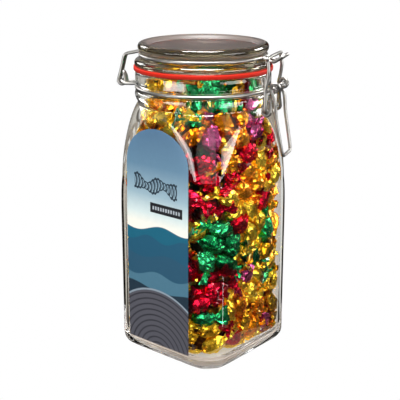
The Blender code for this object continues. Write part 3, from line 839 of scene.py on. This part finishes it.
def wireMaterial(v):
    # drawn steel wire with a bright zinc and nickel plate: a soft mirror, dulled in fine spots
    material, tree, output = newMaterial("platedDrawnSteel")
    where = addNode(tree, "ShaderNodeTexCoord")
    spots = addNode(tree, "ShaderNodeTexNoise", {
        "Scale": 1 / v["spotSize"], "Detail": 4.0, "Vector": where.outputs["Object"],
    })
    low, high = v["roughness"]
    rough = addNode(tree, "ShaderNodeMapRange", {0: spots, "To Min": low, "To Max": high})
    bright, dull = v["colours"]
    tone = addNode(tree, "ShaderNodeMix", {
        "data_type": "RGBA", 0: spots, 6: linearColour(bright), 7: linearColour(dull),
    })
    bump = addNode(tree, "ShaderNodeBump", {"Strength": 0.03, "Distance": v["spotDepth"], "Height": spots})
    shader = addNode(tree, "ShaderNodeBsdfPrincipled", {
        "Metallic": 1.0, "Base Color": tone.outputs[2], "Roughness": rough, "Normal": bump,
    })
    tree.links.new(shader.outputs[0], output.inputs[0])
    return material


plated = wireMaterial(wireValues)
for maker, body, nodeName in (
    (makeNeckRing, "jar", "neck_ring"), (makeLidRing, "lid", "lid_ring"),
    (makeLink, "link", "link"), (makeLever, "lever", "lever"),
):
    wire = maker(wireValues, plated)
    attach(wire, body)
    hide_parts(nodeName)
print("wires made")


# Label

labelValues = {
    "centre": -1.0 * mm,
    "halfWidth": 29.0 * mm,
    "bottom": 11.7 * mm,
    "sideTop": 148.5 * mm,
    "top": 172.9 * mm,
    "gap": 0.3 * mm,
    "thickness": 0.16 * mm,
    "columns": 97,
    "rows": 60,
    # the print, from here on: the sky's foot and height, and its colours upwards
    "skyFrom": 85 * mm,
    "skyHeight": 88 * mm,
    "sky": [
        (0.0, "#E4DACA"), (0.20, "#DEDACE"), (0.30, "#BCCAC9"), (0.46, "#869FAB"), (0.70, "#54758C"),
        (1.0, "#42617C"),
    ],
    # waves from the back one to the front one: level, height, length, shift, lean and colour
    "waves": [
        (101.0 * mm, 2.2 * mm, 45 * mm, 1.2, 0.06, "#02566E"),
        (93.0 * mm, 2.4 * mm, 34 * mm, 3.4, 0.05, "#124C66"),
        (80.0 * mm, 2.6 * mm, 52 * mm, 0.4, 0.0, "#1E4A62"),
        (66.0 * mm, 2.2 * mm, 40 * mm, 2.0, 0.05, "#3E687C"),
        (55.0 * mm, 2.0 * mm, 60 * mm, 4.4, 0.0, "#182C3A"),
    ],
    "waveEdge": 0.3 * mm,
    # the slate field: rings about a point, their spacing, and the trim round them
    "fieldCentre": (-1.0 * mm, 0.0, 4.0 * mm),
    "fieldReach": 49.5 * mm,
    "fieldEdge": 0.3 * mm,
    "ringSpacing": 4.2 * mm,
    "ringColours": ("#4A4A52", "#2C2C33"),
    "trimReach": 50.2 * mm,
    "trimWidths": (0.9 * mm, 0.5 * mm),
    "trimColour": "#7A8792",
    # the scroll: two rows of ovals side by side along a wavy line
    "scrollX": -2.0 * mm,
    "scrollLevel": 132.5 * mm,
    "scrollHalf": 20.3 * mm,
    "driftLength": 23.2 * mm,
    "driftHeight": 1.5 * mm,
    "tallLength": 17.4 * mm,
    "tallSwing": 1.4 * mm,
    "tallMean": 4.0 * mm,
    "ovalSpacing": 2.9 * mm,
    "ovalHalf": 2.3 * mm,
    "penSwell": 30.0,
    "penWidth": 0.17,
    "scrollInk": "#1C2C38",
    # the bar and its row of beads: middle, and half width, half height and colour of each
    "barMiddle": (8.0 * mm, 116.5 * mm),
    "bar": (15.0 * mm, 3.6 * mm, "#14161A"),
    "beadRow": (12.8 * mm, 1.3 * mm, "#9AA2A8"),
    "beadSpacing": 1.2 * mm,
    "beadWidth": 0.7 * mm,
    "grainSize": 50 / 13 * mm,
    "grainDepth": 0.2 * mm,
    "grainTone": (0.94, 1.05),
    "roughness": (0.36, 0.50),
}


def wallFace(x, z, offset, jar):
    # the glass face at -Y, found by stepping its angle until x fits
    y = np.full_like(x, jar["halfWidth"])
    for _ in range(8):
        reach = outerReach(np.arctan2(y, x), z, jar)
        y = np.sqrt(reach**2 - x**2)
    return np.stack([x, -y - offset, z], -1)


def makeLabel(v, jar, material):
    # an arched sheet: columns from bottom to arch, front and back, lofted across
    share = -np.cos(np.linspace(0, np.pi, v["columns"]))
    x = v["centre"] + v["halfWidth"] * share
    top = v["sideTop"] + (v["top"] - v["sideTop"]) * np.sqrt(np.maximum(1 - share**2, 0))
    rise = 0.5 - 0.5 * np.cos(np.linspace(0, np.pi, v["rows"]))
    z = v["bottom"] + (top[:, None] - v["bottom"]) * rise[None]
    xGrid = np.repeat(x[:, None], v["rows"], 1)
    near = wallFace(xGrid, z, v["gap"], jar)
    far = wallFace(xGrid, z, v["gap"] + v["thickness"], jar)
    rings = np.concatenate([near, far[:, ::-1]], 1)
    columns, around = rings.shape[:2]
    points = np.concatenate([rings.reshape(-1, 3), [rings[0].mean(0), rings[-1].mean(0)]])
    caps = np.concatenate([
        capFaces(0, around, len(points) - 2, True),
        capFaces((columns - 1) * around, around, len(points) - 1, False),
    ])
    return meshPiece("archLabel", points, [gridFaces(columns, around, False, True), caps], material)


def paintWaves(tree, x, z, colour, v):
    # under each crest line, level + height * sin(2 pi x / length + shift) + lean * x, its colour
    for level, height, length, shift, lean, tone in v["waves"]:
        phase = addNode(tree, "ShaderNodeMath", {
            "operation": "MULTIPLY_ADD", 0: x, 1: 2 * math.pi / length, 2: shift,
        })
        swing = addNode(tree, "ShaderNodeMath", {"operation": "SINE", 0: phase})
        line = addNode(tree, "ShaderNodeMath", {"operation": "MULTIPLY_ADD", 0: swing, 1: height, 2: level})
        crest = addNode(tree, "ShaderNodeMath", {"operation": "MULTIPLY_ADD", 0: x, 1: lean, 2: line})
        below = addNode(tree, "ShaderNodeMath", {"operation": "SUBTRACT", 0: crest, 1: z})
        share = addNode(tree, "ShaderNodeMapRange", {
            0: below, "From Min": -v["waveEdge"], "From Max": v["waveEdge"],
        })
        colour = addNode(tree, "ShaderNodeMix", {
            "data_type": "RGBA", 0: share, 6: colour, 7: linearColour(tone),
        }).outputs[2]
    return colour


def paintField(tree, place, colour, v):
    # nested arches: stripes by the sine of the distance to a point, within a reach and trimmed round it
    offset = addNode(tree, "ShaderNodeVectorMath", {"operation": "SUBTRACT", 0: place, 1: v["fieldCentre"]})
    flat = addNode(tree, "ShaderNodeVectorMath", {"operation": "MULTIPLY", 0: offset, 1: (1.0, 0.0, 1.0)})
    reach = addNode(tree, "ShaderNodeVectorMath", {"operation": "LENGTH", 0: flat}).outputs["Value"]
    turns = addNode(tree, "ShaderNodeMath", {
        "operation": "MULTIPLY", 0: reach, 1: 2 * math.pi / v["ringSpacing"],
    })
    ridge = addNode(tree, "ShaderNodeMath", {"operation": "SINE", 0: turns})
    stripes = addNode(tree, "ShaderNodeMapRange", {0: ridge, "From Min": 0.35, "From Max": 0.95})
    pale, dark = v["ringColours"]
    arches = addNode(tree, "ShaderNodeMix", {
        "data_type": "RGBA", 0: stripes, 6: linearColour(pale), 7: linearColour(dark),
    })
    inside = addNode(tree, "ShaderNodeMapRange", {
        0: reach, "From Min": v["fieldReach"] + v["fieldEdge"], "From Max": v["fieldReach"] - v["fieldEdge"],
    })
    filled = addNode(tree, "ShaderNodeMix", {"data_type": "RGBA", 0: inside, 6: colour, 7: arches.outputs[2]})
    past = addNode(tree, "ShaderNodeMath", {"operation": "SUBTRACT", 0: reach, 1: v["trimReach"]})
    away = addNode(tree, "ShaderNodeMath", {"operation": "ABSOLUTE", 0: past})
    outer, inner = v["trimWidths"]
    trim = addNode(tree, "ShaderNodeMapRange", {0: away, "From Min": outer, "From Max": inner})
    return addNode(tree, "ShaderNodeMix", {
        "data_type": "RGBA", 0: trim, 6: filled.outputs[2], 7: linearColour(v["trimColour"]),
    }).outputs[2]


def paintScroll(tree, x, z, colour, v):
    # a dark scroll where a name would be: strokes where an oval's distance is within the pen of 1. The
    # ovals' height and level swing along the scroll, and the pen swells towards one side of each.
    u = addNode(tree, "ShaderNodeMath", {"operation": "SUBTRACT", 0: x, 1: v["scrollX"]})
    driftTurn = addNode(tree, "ShaderNodeMath", {
        "operation": "MULTIPLY", 0: u, 1: 2 * math.pi / v["driftLength"],
    })
    driftSwing = addNode(tree, "ShaderNodeMath", {"operation": "SINE", 0: driftTurn})
    level = addNode(tree, "ShaderNodeMath", {
        "operation": "MULTIPLY_ADD", 0: driftSwing, 1: v["driftHeight"], 2: v["scrollLevel"],
    })
    lift = addNode(tree, "ShaderNodeMath", {"operation": "SUBTRACT", 0: z, 1: level})
    tallTurn = addNode(tree, "ShaderNodeMath", {
        "operation": "MULTIPLY", 0: u, 1: 2 * math.pi / v["tallLength"],
    })
    tallSwing = addNode(tree, "ShaderNodeMath", {"operation": "COSINE", 0: tallTurn})
    tall = addNode(tree, "ShaderNodeMath", {
        "operation": "MULTIPLY_ADD", 0: tallSwing, 1: v["tallSwing"], 2: v["tallMean"],
    })
    rise = addNode(tree, "ShaderNodeMath", {"operation": "DIVIDE", 0: lift, 1: tall})
    along = addNode(tree, "ShaderNodeMath", {"operation": "ABSOLUTE", 0: u})
    within = addNode(tree, "ShaderNodeMath", {"operation": "LESS_THAN", 0: along, 1: v["scrollHalf"]})
    for shift in (0.0, v["ovalSpacing"]):
        moved = addNode(tree, "ShaderNodeMath", {"operation": "ADD", 0: u, 1: shift})
        part = addNode(tree, "ShaderNodeMath", {
            "operation": "WRAP", 0: moved, 1: v["ovalSpacing"], 2: -v["ovalSpacing"],
        })
        wide = addNode(tree, "ShaderNodeMath", {"operation": "DIVIDE", 0: part, 1: v["ovalHalf"]})
        pair = addNode(tree, "ShaderNodeCombineXYZ", {0: wide, 1: rise})
        oval = addNode(tree, "ShaderNodeVectorMath", {"operation": "LENGTH", 0: pair})
        past = addNode(tree, "ShaderNodeMath", {"operation": "SUBTRACT", 0: oval.outputs["Value"], 1: 1.0})
        away = addNode(tree, "ShaderNodeMath", {"operation": "ABSOLUTE", 0: past})
        pen = addNode(tree, "ShaderNodeMath", {
            "operation": "MULTIPLY_ADD", 0: part, 1: v["penSwell"], 2: v["penWidth"],
        })
        inked = addNode(tree, "ShaderNodeMath", {"operation": "LESS_THAN", 0: away, 1: pen})
        stroke = addNode(tree, "ShaderNodeMath", {"operation": "MULTIPLY", 0: inked, 1: within})
        colour = addNode(tree, "ShaderNodeMix", {
            "data_type": "RGBA", 0: stroke, 6: colour, 7: linearColour(v["scrollInk"]),
        }).outputs[2]
    return colour


def paintBar(tree, x, z, colour, v):
    # a plain dark bar and a row of pale beads on it: boxes about one middle, the second cut by spacing
    middleX, middleZ = v["barMiddle"]
    acrossFrom = addNode(tree, "ShaderNodeMath", {"operation": "SUBTRACT", 0: x, 1: middleX})
    across = addNode(tree, "ShaderNodeMath", {"operation": "ABSOLUTE", 0: acrossFrom})
    upFrom = addNode(tree, "ShaderNodeMath", {"operation": "SUBTRACT", 0: z, 1: middleZ})
    up = addNode(tree, "ShaderNodeMath", {"operation": "ABSOLUTE", 0: upFrom})
    shifted = addNode(tree, "ShaderNodeMath", {"operation": "ADD", 0: x, 1: 100 * mm})
    repeated = addNode(tree, "ShaderNodeMath", {"operation": "PINGPONG", 0: shifted, 1: v["beadSpacing"]})
    bead = addNode(tree, "ShaderNodeMath", {"operation": "LESS_THAN", 0: repeated, 1: v["beadWidth"]})
    for (halfWidth, halfHeight, tone), cut in ((v["bar"], 1.0), (v["beadRow"], bead)):
        wide = addNode(tree, "ShaderNodeMath", {"operation": "LESS_THAN", 0: across, 1: halfWidth})
        high = addNode(tree, "ShaderNodeMath", {"operation": "LESS_THAN", 0: up, 1: halfHeight})
        box = addNode(tree, "ShaderNodeMath", {"operation": "MULTIPLY", 0: wide, 1: high})
        share = addNode(tree, "ShaderNodeMath", {"operation": "MULTIPLY", 0: box, 1: cut})
        colour = addNode(tree, "ShaderNodeMix", {
            "data_type": "RGBA", 0: share, 6: colour, 7: linearColour(tone),
        }).outputs[2]
    return colour


def labelMaterial(v):
    # satin coated print on film: a dusk sky over soft waves and a slate field of nested arches
    material, tree, output = newMaterial("satinPrintedFilm")
    place = addNode(tree, "ShaderNodeTexCoord").outputs["Object"]
    split = addNode(tree, "ShaderNodeSeparateXYZ", {0: place})
    x, z = split.outputs["X"], split.outputs["Z"]
    height = addNode(tree, "ShaderNodeMapRange", {
        0: z, "From Min": v["skyFrom"], "From Max": v["skyFrom"] + v["skyHeight"],
    })
    sky = addNode(tree, "ShaderNodeValToRGB", {0: height})
    fillRamp(sky.color_ramp, v["sky"])
    colour = paintWaves(tree, x, z, sky.outputs[0], v)
    colour = paintField(tree, place, colour, v)
    colour = paintScroll(tree, x, z, colour, v)
    colour = paintBar(tree, x, z, colour, v)
    grain = addNode(tree, "ShaderNodeTexNoise", {"Scale": 1 / v["grainSize"], "Detail": 4.0, "Vector": place})
    dim, full = v["grainTone"]
    soft = addNode(tree, "ShaderNodeMapRange", {0: grain, "To Min": dim, "To Max": full})
    tinted = addNode(tree, "ShaderNodeVectorMath", {"operation": "SCALE", 0: colour, "Scale": soft})
    bump = addNode(tree, "ShaderNodeBump", {"Strength": 0.05, "Distance": v["grainDepth"], "Height": grain})
    low, high = v["roughness"]
    rough = addNode(tree, "ShaderNodeMapRange", {0: grain, "To Min": low, "To Max": high})
    shader = addNode(tree, "ShaderNodeBsdfPrincipled", {
        "IOR": 1.48, "Specular IOR Level": 0.35, "Base Color": tinted, "Roughness": rough, "Normal": bump,
    })
    tree.links.new(shader.outputs[0], output.inputs[0])
    return material


label = makeLabel(labelValues, jarValues, labelMaterial(labelValues))
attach(label, "jar")
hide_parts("label")
print("label made")


# Sweets

sweetValues = {
    "count": 800,
    "seed": 11,
    "steps": 220,
    "listedEvery": 10,
    "startBox": ((-48, -48, 8), (48, 48, 202)),  # in mm
    "startMargin": 5 * mm,
    "push": 0.30,
    "tipMargin": 2.5 * mm,
    "tipPush": 0.15,
    "tipTurn": 0.6,
    "ballRadius": 5.55 * mm,
    "arm": 3.3 * mm,
    "tip": 15.0 * mm,
    "top": 205.5 * mm,
    "wallGap": 0.35 * mm,
    # sweets that can be seen: near the wall, or above and below these levels
    "shownDepth": 19 * mm,
    "shownAbove": 176 * mm,
    "shownBelow": 22 * mm,
    "around": 16,
    "sizes": (0.92, 1.12),
    "slack": 0.6 * mm,
    "fanFrom": 9.3 * mm,
    "fanLength": 4 * mm,
    "fanTurn": 1.1,
    "bodyTurn": 0.3,
    "folds": (5, 9),
    "fanFolds": 1.1,
    "crease": 0.34,
    "fanCrease": 0.12,
    "bend": 0.022 / mm,
    "bendFrom": 8 * mm,
    "poleDepth": 3.5 * mm,
    "backChance": 0.3,
    # along one half of a sweet, in mm: place, half-width, half-depth, pleat height
    "section": [
        (0.0, 6.3, 6.0, 0.35), (2.4, 6.1, 5.8, 0.45), (4.6, 5.4, 5.1, 0.60), (6.5, 4.2, 4.0, 0.75),
        (8.0, 2.6, 2.4, 0.60), (9.3, 1.5, 1.4, 0.30), (10.8, 2.5, 1.2, 0.70), (13.0, 4.6, 1.0, 1.20),
        (15.4, 6.4, 0.8, 1.60), (17.6, 7.6, 0.45, 1.80),
    ],
    "chances": {"gold": 0.62, "amber": 0.15, "red": 0.10, "green": 0.08, "pink": 0.05},
    # bearings, in degrees, between which every red, green and pink sweet has a chosen spot
    "facing": (-135, 80),
    # single sweets of one colour near the front corner: bearing from the axis in degrees, height in mm
    "spots": {
        "green": [
            (-54, 202), (-48, 199), (-41, 201), (-48, 192), (-46, 179), (-36, 99), (-47, 95), (-4, 84),
            (27, 87), (-29, 84), (-42, 80), (-20, 92), (35, 53), (-56, 34), (27, 191),
        ],
        "pink": [(2, 180), (15, 170), (3, 171), (-50, 162), (-39, 162), (1, 190), (34, 20), (-13, 67)],
        "red": [
            (35, 161), (15, 157), (-3, 156), (-52, 151), (-46, 150), (-44, 143), (-56, 133), (-46, 131),
            (-41, 135), (-58, 120), (-47, 117), (-52, 125), (15, 117), (-11, 108), (-57, 64), (-51, 67),
            (-41, 49), (-50, 46), (-38, 52), (-26, 14), (75, 145),
        ],
        "amber": [
            (-85, 189), (-64, 193), (-60, 177), (-59, 166), (-27, 170), (-14, 140), (-8, 122), (-44, 71),
            (33, 48), (-17, 37), (4, 27),
        ],
    },
    # light, deep and back colour of each foil
    "kinds": {
        "gold": ("#FFE24A", "#CC9218", "#D4C498"),
        "amber": ("#FFB22E", "#CC740E", "#D6AE68"),
        "red": ("#DC1838", "#860A1C", "#C08C8E"),
        "green": ("#3CC47A", "#0E6A3C", "#A4CCB4"),
        "pink": ("#D0649A", "#84284F", "#D0AEBE"),
    },
    # the foil's tone patches, its sharp creases and a finer grain of the film
    "foil": {
        "patchSize": 50 / 3 * mm,
        "patchEdges": (0.35, 0.65),
        "creaseSize": 25 / 6 * mm,
        "creaseStrength": 0.50,
        "creaseDepth": 0.8 * mm,
        "grainSize": 10 / 9 * mm,
        "grainStrength": 0.10,
        "grainDepth": 0.4 * mm,
        "roughness": (0.22, 0.28),
    },
}


def keptInside(p, margin, jar, v):
    # points drawn in until they keep a margin to the wall, the base and the fill line
    low = jar["baseThickness"] + margin
    z = np.clip(p[..., 2], low, v["top"] - margin)
    angle = np.arctan2(p[..., 1], p[..., 0])
    limit = innerReach(angle, z, jar, margin)
    reach = np.maximum(np.hypot(p[..., 0], p[..., 1]), 1e-9)
    factor = np.minimum(1.0, limit / reach)
    return np.stack([p[..., 0] * factor, p[..., 1] * factor, z], -1)


def settledSweets(v, jar):
    # centres and axes of sweets that fill the cavity: each is two balls and two foil tips, pushed apart
    # by a share of how far balls overlap and drawn in wherever balls or tips reach past the wall
    rng = np.random.default_rng(v["seed"])
    spare = rng.uniform(*v["startBox"], (v["count"] * 4, 3)) * mm
    spareReach = np.hypot(spare[:, 0], spare[:, 1])
    spareBearing = np.arctan2(spare[:, 1], spare[:, 0])
    fits = spareReach < innerReach(spareBearing, spare[:, 2], jar, v["startMargin"])
    centre = spare[fits][:v["count"]]
    count = len(centre)
    axis = rng.normal(size=(count, 3))
    axis /= np.linalg.norm(axis, axis=1, keepdims=True)
    for step in range(v["steps"]):
        balls = np.concatenate([centre - axis * v["arm"], centre + axis * v["arm"]])
        if step % v["listedEvery"] == 0:
            square = (balls**2).sum(1)
            apart = square[:, None] + square[None] - 2 * balls @ balls.T
            one, other = np.nonzero(np.triu(apart < (3 * v["ballRadius"]) ** 2, 1))
            strangers = (other - one) != count
            one, other = one[strangers], other[strangers]
        gap = balls[one] - balls[other]
        distance = np.sqrt((gap**2).sum(-1)) + 1e-9
        push = v["push"] * gap * (np.maximum(2 * v["ballRadius"] - distance, 0) / distance)[:, None]
        moved = balls.copy()
        for part in range(3):
            there = np.bincount(one, push[:, part], 2 * count)
            back = np.bincount(other, push[:, part], 2 * count)
            moved[:, part] += there - back
        moved = keptInside(moved, v["ballRadius"] + v["wallGap"], jar, v)
        tips = np.concatenate([centre - axis * v["tip"], centre + axis * v["tip"]])
        tipMove = keptInside(tips, v["tipMargin"], jar, v) - tips
        centre = (moved[:count] + moved[count:]) / 2 + v["tipPush"] * (tipMove[:count] + tipMove[count:])
        axis = (moved[count:] - moved[:count]) / (2 * v["arm"])
        axis = axis + v["tipTurn"] * (tipMove[count:] - tipMove[:count]) / (2 * v["tip"])
        axis /= np.linalg.norm(axis, axis=1, keepdims=True)
    return centre, axis, rng


def sweetPoints(centre, axis, rng, v, jar):
    # all sweets at once: an oval section carried along each axis, pinched at two necks and flared flat
    # beyond them, with pleats that deepen outwards and a random crease at every point
    count = len(centre)
    half = np.array(v["section"])
    whole = np.concatenate([half[:0:-1] * [-1, 1, 1, 1], half])
    place, wide, deep, pleat = (whole * mm).T
    sections, around = len(place), v["around"]
    t = np.linspace(0, 2 * np.pi, around, endpoint=False)
    outward = np.stack([centre[:, 0], centre[:, 1], np.zeros(count)], -1)
    outward /= np.linalg.norm(outward, axis=1, keepdims=True) + 1e-9
    side = np.cross(axis, outward)
    side /= np.linalg.norm(side, axis=1, keepdims=True) + 1e-9
    depth = np.cross(side, axis)
    size = rng.uniform(*v["sizes"], (count, 1, 1))
    fan = np.clip((np.abs(place) - v["fanFrom"]) / v["fanLength"], 0, 1)
    turn = rng.uniform(-v["fanTurn"], v["fanTurn"], (count, 2))
    bodySpin = rng.uniform(-v["bodyTurn"], v["bodyTurn"], (count, 1))
    spin = np.where(place[None] < 0, turn[:, :1], turn[:, 1:]) * fan[None] + bodySpin
    phase = rng.uniform(0, 2 * np.pi, (count, 1, 1))
    folds = rng.integers(*v["folds"], (count, 1, 1))
    cos, sin = np.cos(t)[None, None], np.sin(t)[None, None]
    bodyPleat = pleat[None, :, None] * (1 - fan[None, :, None]) * np.cos(folds * t[None, None] + phase)
    across = (wide[None, :, None] + bodyPleat) * cos
    through = (deep[None, :, None] + bodyPleat) * sin
    fanPleat = pleat[None, :, None] * fan[None, :, None] * np.sin(folds * v["fanFolds"] * cos + phase)
    through = through + fanPleat
    creaseHeight = (v["crease"] + v["fanCrease"] * fan)[None, :, None, None]
    crease = rng.normal(0, 1, (count, sections, around, 3)) * creaseHeight * mm
    x = size * place[None, :, None] + np.zeros((count, sections, around))
    a = size * (across * np.cos(spin)[..., None] - through * np.sin(spin)[..., None])
    b = size * (across * np.sin(spin)[..., None] + through * np.cos(spin)[..., None])
    bend = rng.uniform(-1, 1, (count, 2, 2)) * v["bend"]
    beyond = np.maximum(np.abs(place) - v["bendFrom"], 0) ** 2
    bendA = np.where(place[None] < 0, bend[:, :1, 0], bend[:, 1:, 0]) * beyond
    bendB = np.where(place[None] < 0, bend[:, :1, 1], bend[:, 1:, 1]) * beyond
    a = a + bendA[..., None]
    b = b + bendB[..., None]
    points = centre[:, None, None] + x[..., None] * axis[:, None, None] + a[..., None] * side[:, None, None]
    points = points + b[..., None] * depth[:, None, None] + crease
    inward = axis * v["poleDepth"]
    ends = np.stack([points[:, 0].mean(1) + inward, points[:, -1].mean(1) - inward], 1)
    points = np.concatenate([points.reshape(count, -1, 3), ends], 1)
    slack = rng.uniform(0.0, v["slack"], (count, 1))
    squeezed = keptInside(points, v["wallGap"] + slack, jar, v)
    turnedOver = rng.uniform(0, 1, (count, 1, 1)) < v["backChance"]
    back = (fan[None, :, None] > 0.2) & (np.sin(t)[None, None] < -0.1) & turnedOver
    back = np.broadcast_to(back, (count, sections, around)).reshape(count, -1)
    back = np.concatenate([back, np.ones((count, 2))], 1)
    return squeezed, back.astype(float), sections


def foilMaterial(name, light, deep, silver, v):
    # metallised wrapping film, twisted and crumpled: mirror facets, sharp creases about 4 mm apart, and
    # its plain silvery back where a fan shows it
    material, tree, output = newMaterial(name)
    place = addNode(tree, "ShaderNodeTexCoord").outputs["Object"]
    patch = addNode(tree, "ShaderNodeTexNoise", {"Scale": 1 / v["patchSize"], "Detail": 2.0, "Vector": place})
    low, high = v["patchEdges"]
    share = addNode(tree, "ShaderNodeMapRange", {0: patch, "From Min": low, "From Max": high})
    tone = addNode(tree, "ShaderNodeMix", {
        "data_type": "RGBA", 0: share, 6: linearColour(deep), 7: linearColour(light),
    })
    side = addNode(tree, "ShaderNodeAttribute", {"attribute_name": "foilBack"})
    faced = addNode(tree, "ShaderNodeMix", {
        "data_type": "RGBA", 0: side.outputs["Fac"], 6: tone.outputs[2], 7: linearColour(silver),
    })
    crease = addNode(tree, "ShaderNodeTexVoronoi", {
        "feature": "DISTANCE_TO_EDGE", "Scale": 1 / v["creaseSize"], "Vector": place,
    })
    fine = addNode(tree, "ShaderNodeTexNoise", {"Scale": 1 / v["grainSize"], "Detail": 2.0, "Vector": place})
    smooth, dull = v["roughness"]
    rough = addNode(tree, "ShaderNodeMapRange", {0: fine, "To Min": smooth, "To Max": dull})
    bumpFine = addNode(tree, "ShaderNodeBump", {
        "Strength": v["grainStrength"], "Distance": v["grainDepth"], "Height": fine,
    })
    bump = addNode(tree, "ShaderNodeBump", {
        "Strength": v["creaseStrength"], "Distance": v["creaseDepth"], "Height": crease, "Normal": bumpFine,
    })
    shader = addNode(tree, "ShaderNodeBsdfPrincipled", {
        "Metallic": 1.0, "Base Color": faced.outputs[2], "Roughness": rough, "Normal": bump,
    })
    tree.links.new(shader.outputs[0], output.inputs[0])
    return material


def sweetKinds(centre, rng, v, jar):
    # every sweet's colour: by chance, or at a spot the colour of that spot for the sweet nearest to it
    names = np.array(list(v["chances"]))
    kind = rng.choice(names, len(centre), p=list(v["chances"].values()))
    bearing = np.arctan2(centre[:, 1], centre[:, 0])
    reach = np.hypot(centre[:, 0], centre[:, 1])
    first, last = np.radians(v["facing"])
    facing = (bearing > first) & (bearing < last)
    kind = np.where(facing & np.isin(kind, ["red", "green", "pink"]), "gold", kind)
    depth = innerReach(bearing, centre[:, 2], jar) - reach
    free = np.ones(len(centre), bool)
    for name, spots in v["spots"].items():
        for degrees, height in spots:
            turn = np.abs((bearing - math.radians(degrees) + np.pi) % (2 * np.pi) - np.pi)
            away = turn * np.maximum(reach, 30 * mm)
            deeper = np.maximum(depth - 8 * mm, 0)
            far = np.hypot(np.hypot(away, centre[:, 2] - height * mm), deeper)
            nearest = np.argmin(np.where(free, far, 1.0))
            kind[nearest] = name
            free[nearest] = False
    return kind


def makeSweets(v, jar):
    # the sweets that can be seen, one mesh for each colour
    centre, axis, rng = settledSweets(v, jar)
    bearing = np.arctan2(centre[:, 1], centre[:, 0])
    depth = innerReach(bearing, centre[:, 2], jar) - np.hypot(centre[:, 0], centre[:, 1])
    shown = (depth < v["shownDepth"]) | (centre[:, 2] > v["shownAbove"]) | (centre[:, 2] < v["shownBelow"])
    centre, axis = centre[shown], axis[shown]
    kind = sweetKinds(centre, rng, v, jar)
    points, back, sections = sweetPoints(centre, axis, rng, v, jar)
    perSweet = points.shape[1]
    around = v["around"]
    quads = gridFaces(sections, around, False, True)
    caps = np.concatenate([
        capFaces(0, around, perSweet - 2, True),
        capFaces((sections - 1) * around, around, perSweet - 1, False),
    ])
    print("sweets shown:", len(centre))
    made = []
    for name, (light, deep, silver) in v["kinds"].items():
        chosen = np.flatnonzero(kind == name)
        if not len(chosen):
            continue
        starts = (np.arange(len(chosen)) * perSweet)[:, None, None]
        faceSets = [(quads[None] + starts).reshape(-1, 4), (caps[None] + starts).reshape(-1, 3)]
        material = foilMaterial(name + "TwistFoil", light, deep, silver, v["foil"])
        made.append(meshPiece(
            name + "Sweets", points[chosen].reshape(-1, 3), faceSets, material, smooth=False,
            layers={"foilBack": back[chosen].reshape(-1)},
        ))
        print(name, len(chosen))
    return made


coreValues = {
    "depth": 8.0 * mm,
    "swell": 1.2 * mm,
    "swellsAround": 7,
    "swellLength": 6 * mm,
    "bottom": 14 * mm,
    "top": 196 * mm,
    "patchSize": 200 / 19 * mm,
    # painted shade: the sweets' colours darkened, as foil deep in the heap looks in shade
    "patches": [
        (0.0, "#241404"), (0.45, "#5A3A08"), (0.72, "#3A1C04"), (0.86, "#3C060C"), (1.0, "#062A14"),
    ],
    "creaseSize": 50 / 13 * mm,
    "creaseDepth": 2 * mm,
}


def coreMaterial(v):
    # painted shade: a dark stand-in for the foil deep in the heap, in dull patches of the sweets' colours
    # darkened as if in their own shade, crumpled
    material, tree, output = newMaterial("paintedShadeHeap")
    place = addNode(tree, "ShaderNodeTexCoord").outputs["Object"]
    cells = addNode(tree, "ShaderNodeTexVoronoi", {"Scale": 1 / v["patchSize"], "Vector": place})
    pick = addNode(tree, "ShaderNodeSeparateXYZ", {0: cells.outputs["Color"]})
    tone = addNode(tree, "ShaderNodeValToRGB", {0: pick.outputs["X"]})
    fillRamp(tone.color_ramp, v["patches"])
    creases = addNode(tree, "ShaderNodeTexVoronoi", {"Scale": 1 / v["creaseSize"], "Vector": place})
    bump = addNode(tree, "ShaderNodeBump", {
        "Strength": 0.9, "Distance": v["creaseDepth"], "Height": creases.outputs["Distance"],
    })
    shader = addNode(tree, "ShaderNodeBsdfPrincipled", {
        "Metallic": 1.0, "Roughness": 0.35, "Base Color": tone, "Normal": bump,
    })
    tree.links.new(shader.outputs[0], output.inputs[0])
    return material


def coreReach(angle, z, v, jar):
    # the cavity drawn in by a depth, plus a swell by the sine of the angle and the height
    swell = v["swell"] * np.sin(v["swellsAround"] * angle + z / v["swellLength"])
    return innerReach(angle, z, jar, 0.0) - v["depth"] + swell


def makeCore(v, jar):
    # a dark sheet in the middle of the heap, painted with the shade found where no light reaches
    angles = np.linspace(0, 2 * np.pi, 96, endpoint=False)
    heights = np.linspace(v["bottom"], v["top"], 60)
    grid = jarGrid(angles, heights, lambda a, z: coreReach(a, z, v, jar))
    points = np.concatenate([grid.reshape(-1, 3), [[0, 0, heights[0]], [0, 0, heights[-1]]]])
    steps = len(angles)
    caps = np.concatenate([
        capFaces(0, steps, len(points) - 2, True),
        capFaces((len(heights) - 1) * steps, steps, len(points) - 1, False),
    ])
    faces = gridFaces(len(heights), steps, False, True)
    return meshPiece("heapCore", points, [faces, caps], coreMaterial(v))


core = makeCore(coreValues, jarValues)
heap = makeSweets(sweetValues, jarValues)
for piece in heap + [core]:
    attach(piece, "jar")
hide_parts("sweets")
print("sweets made")
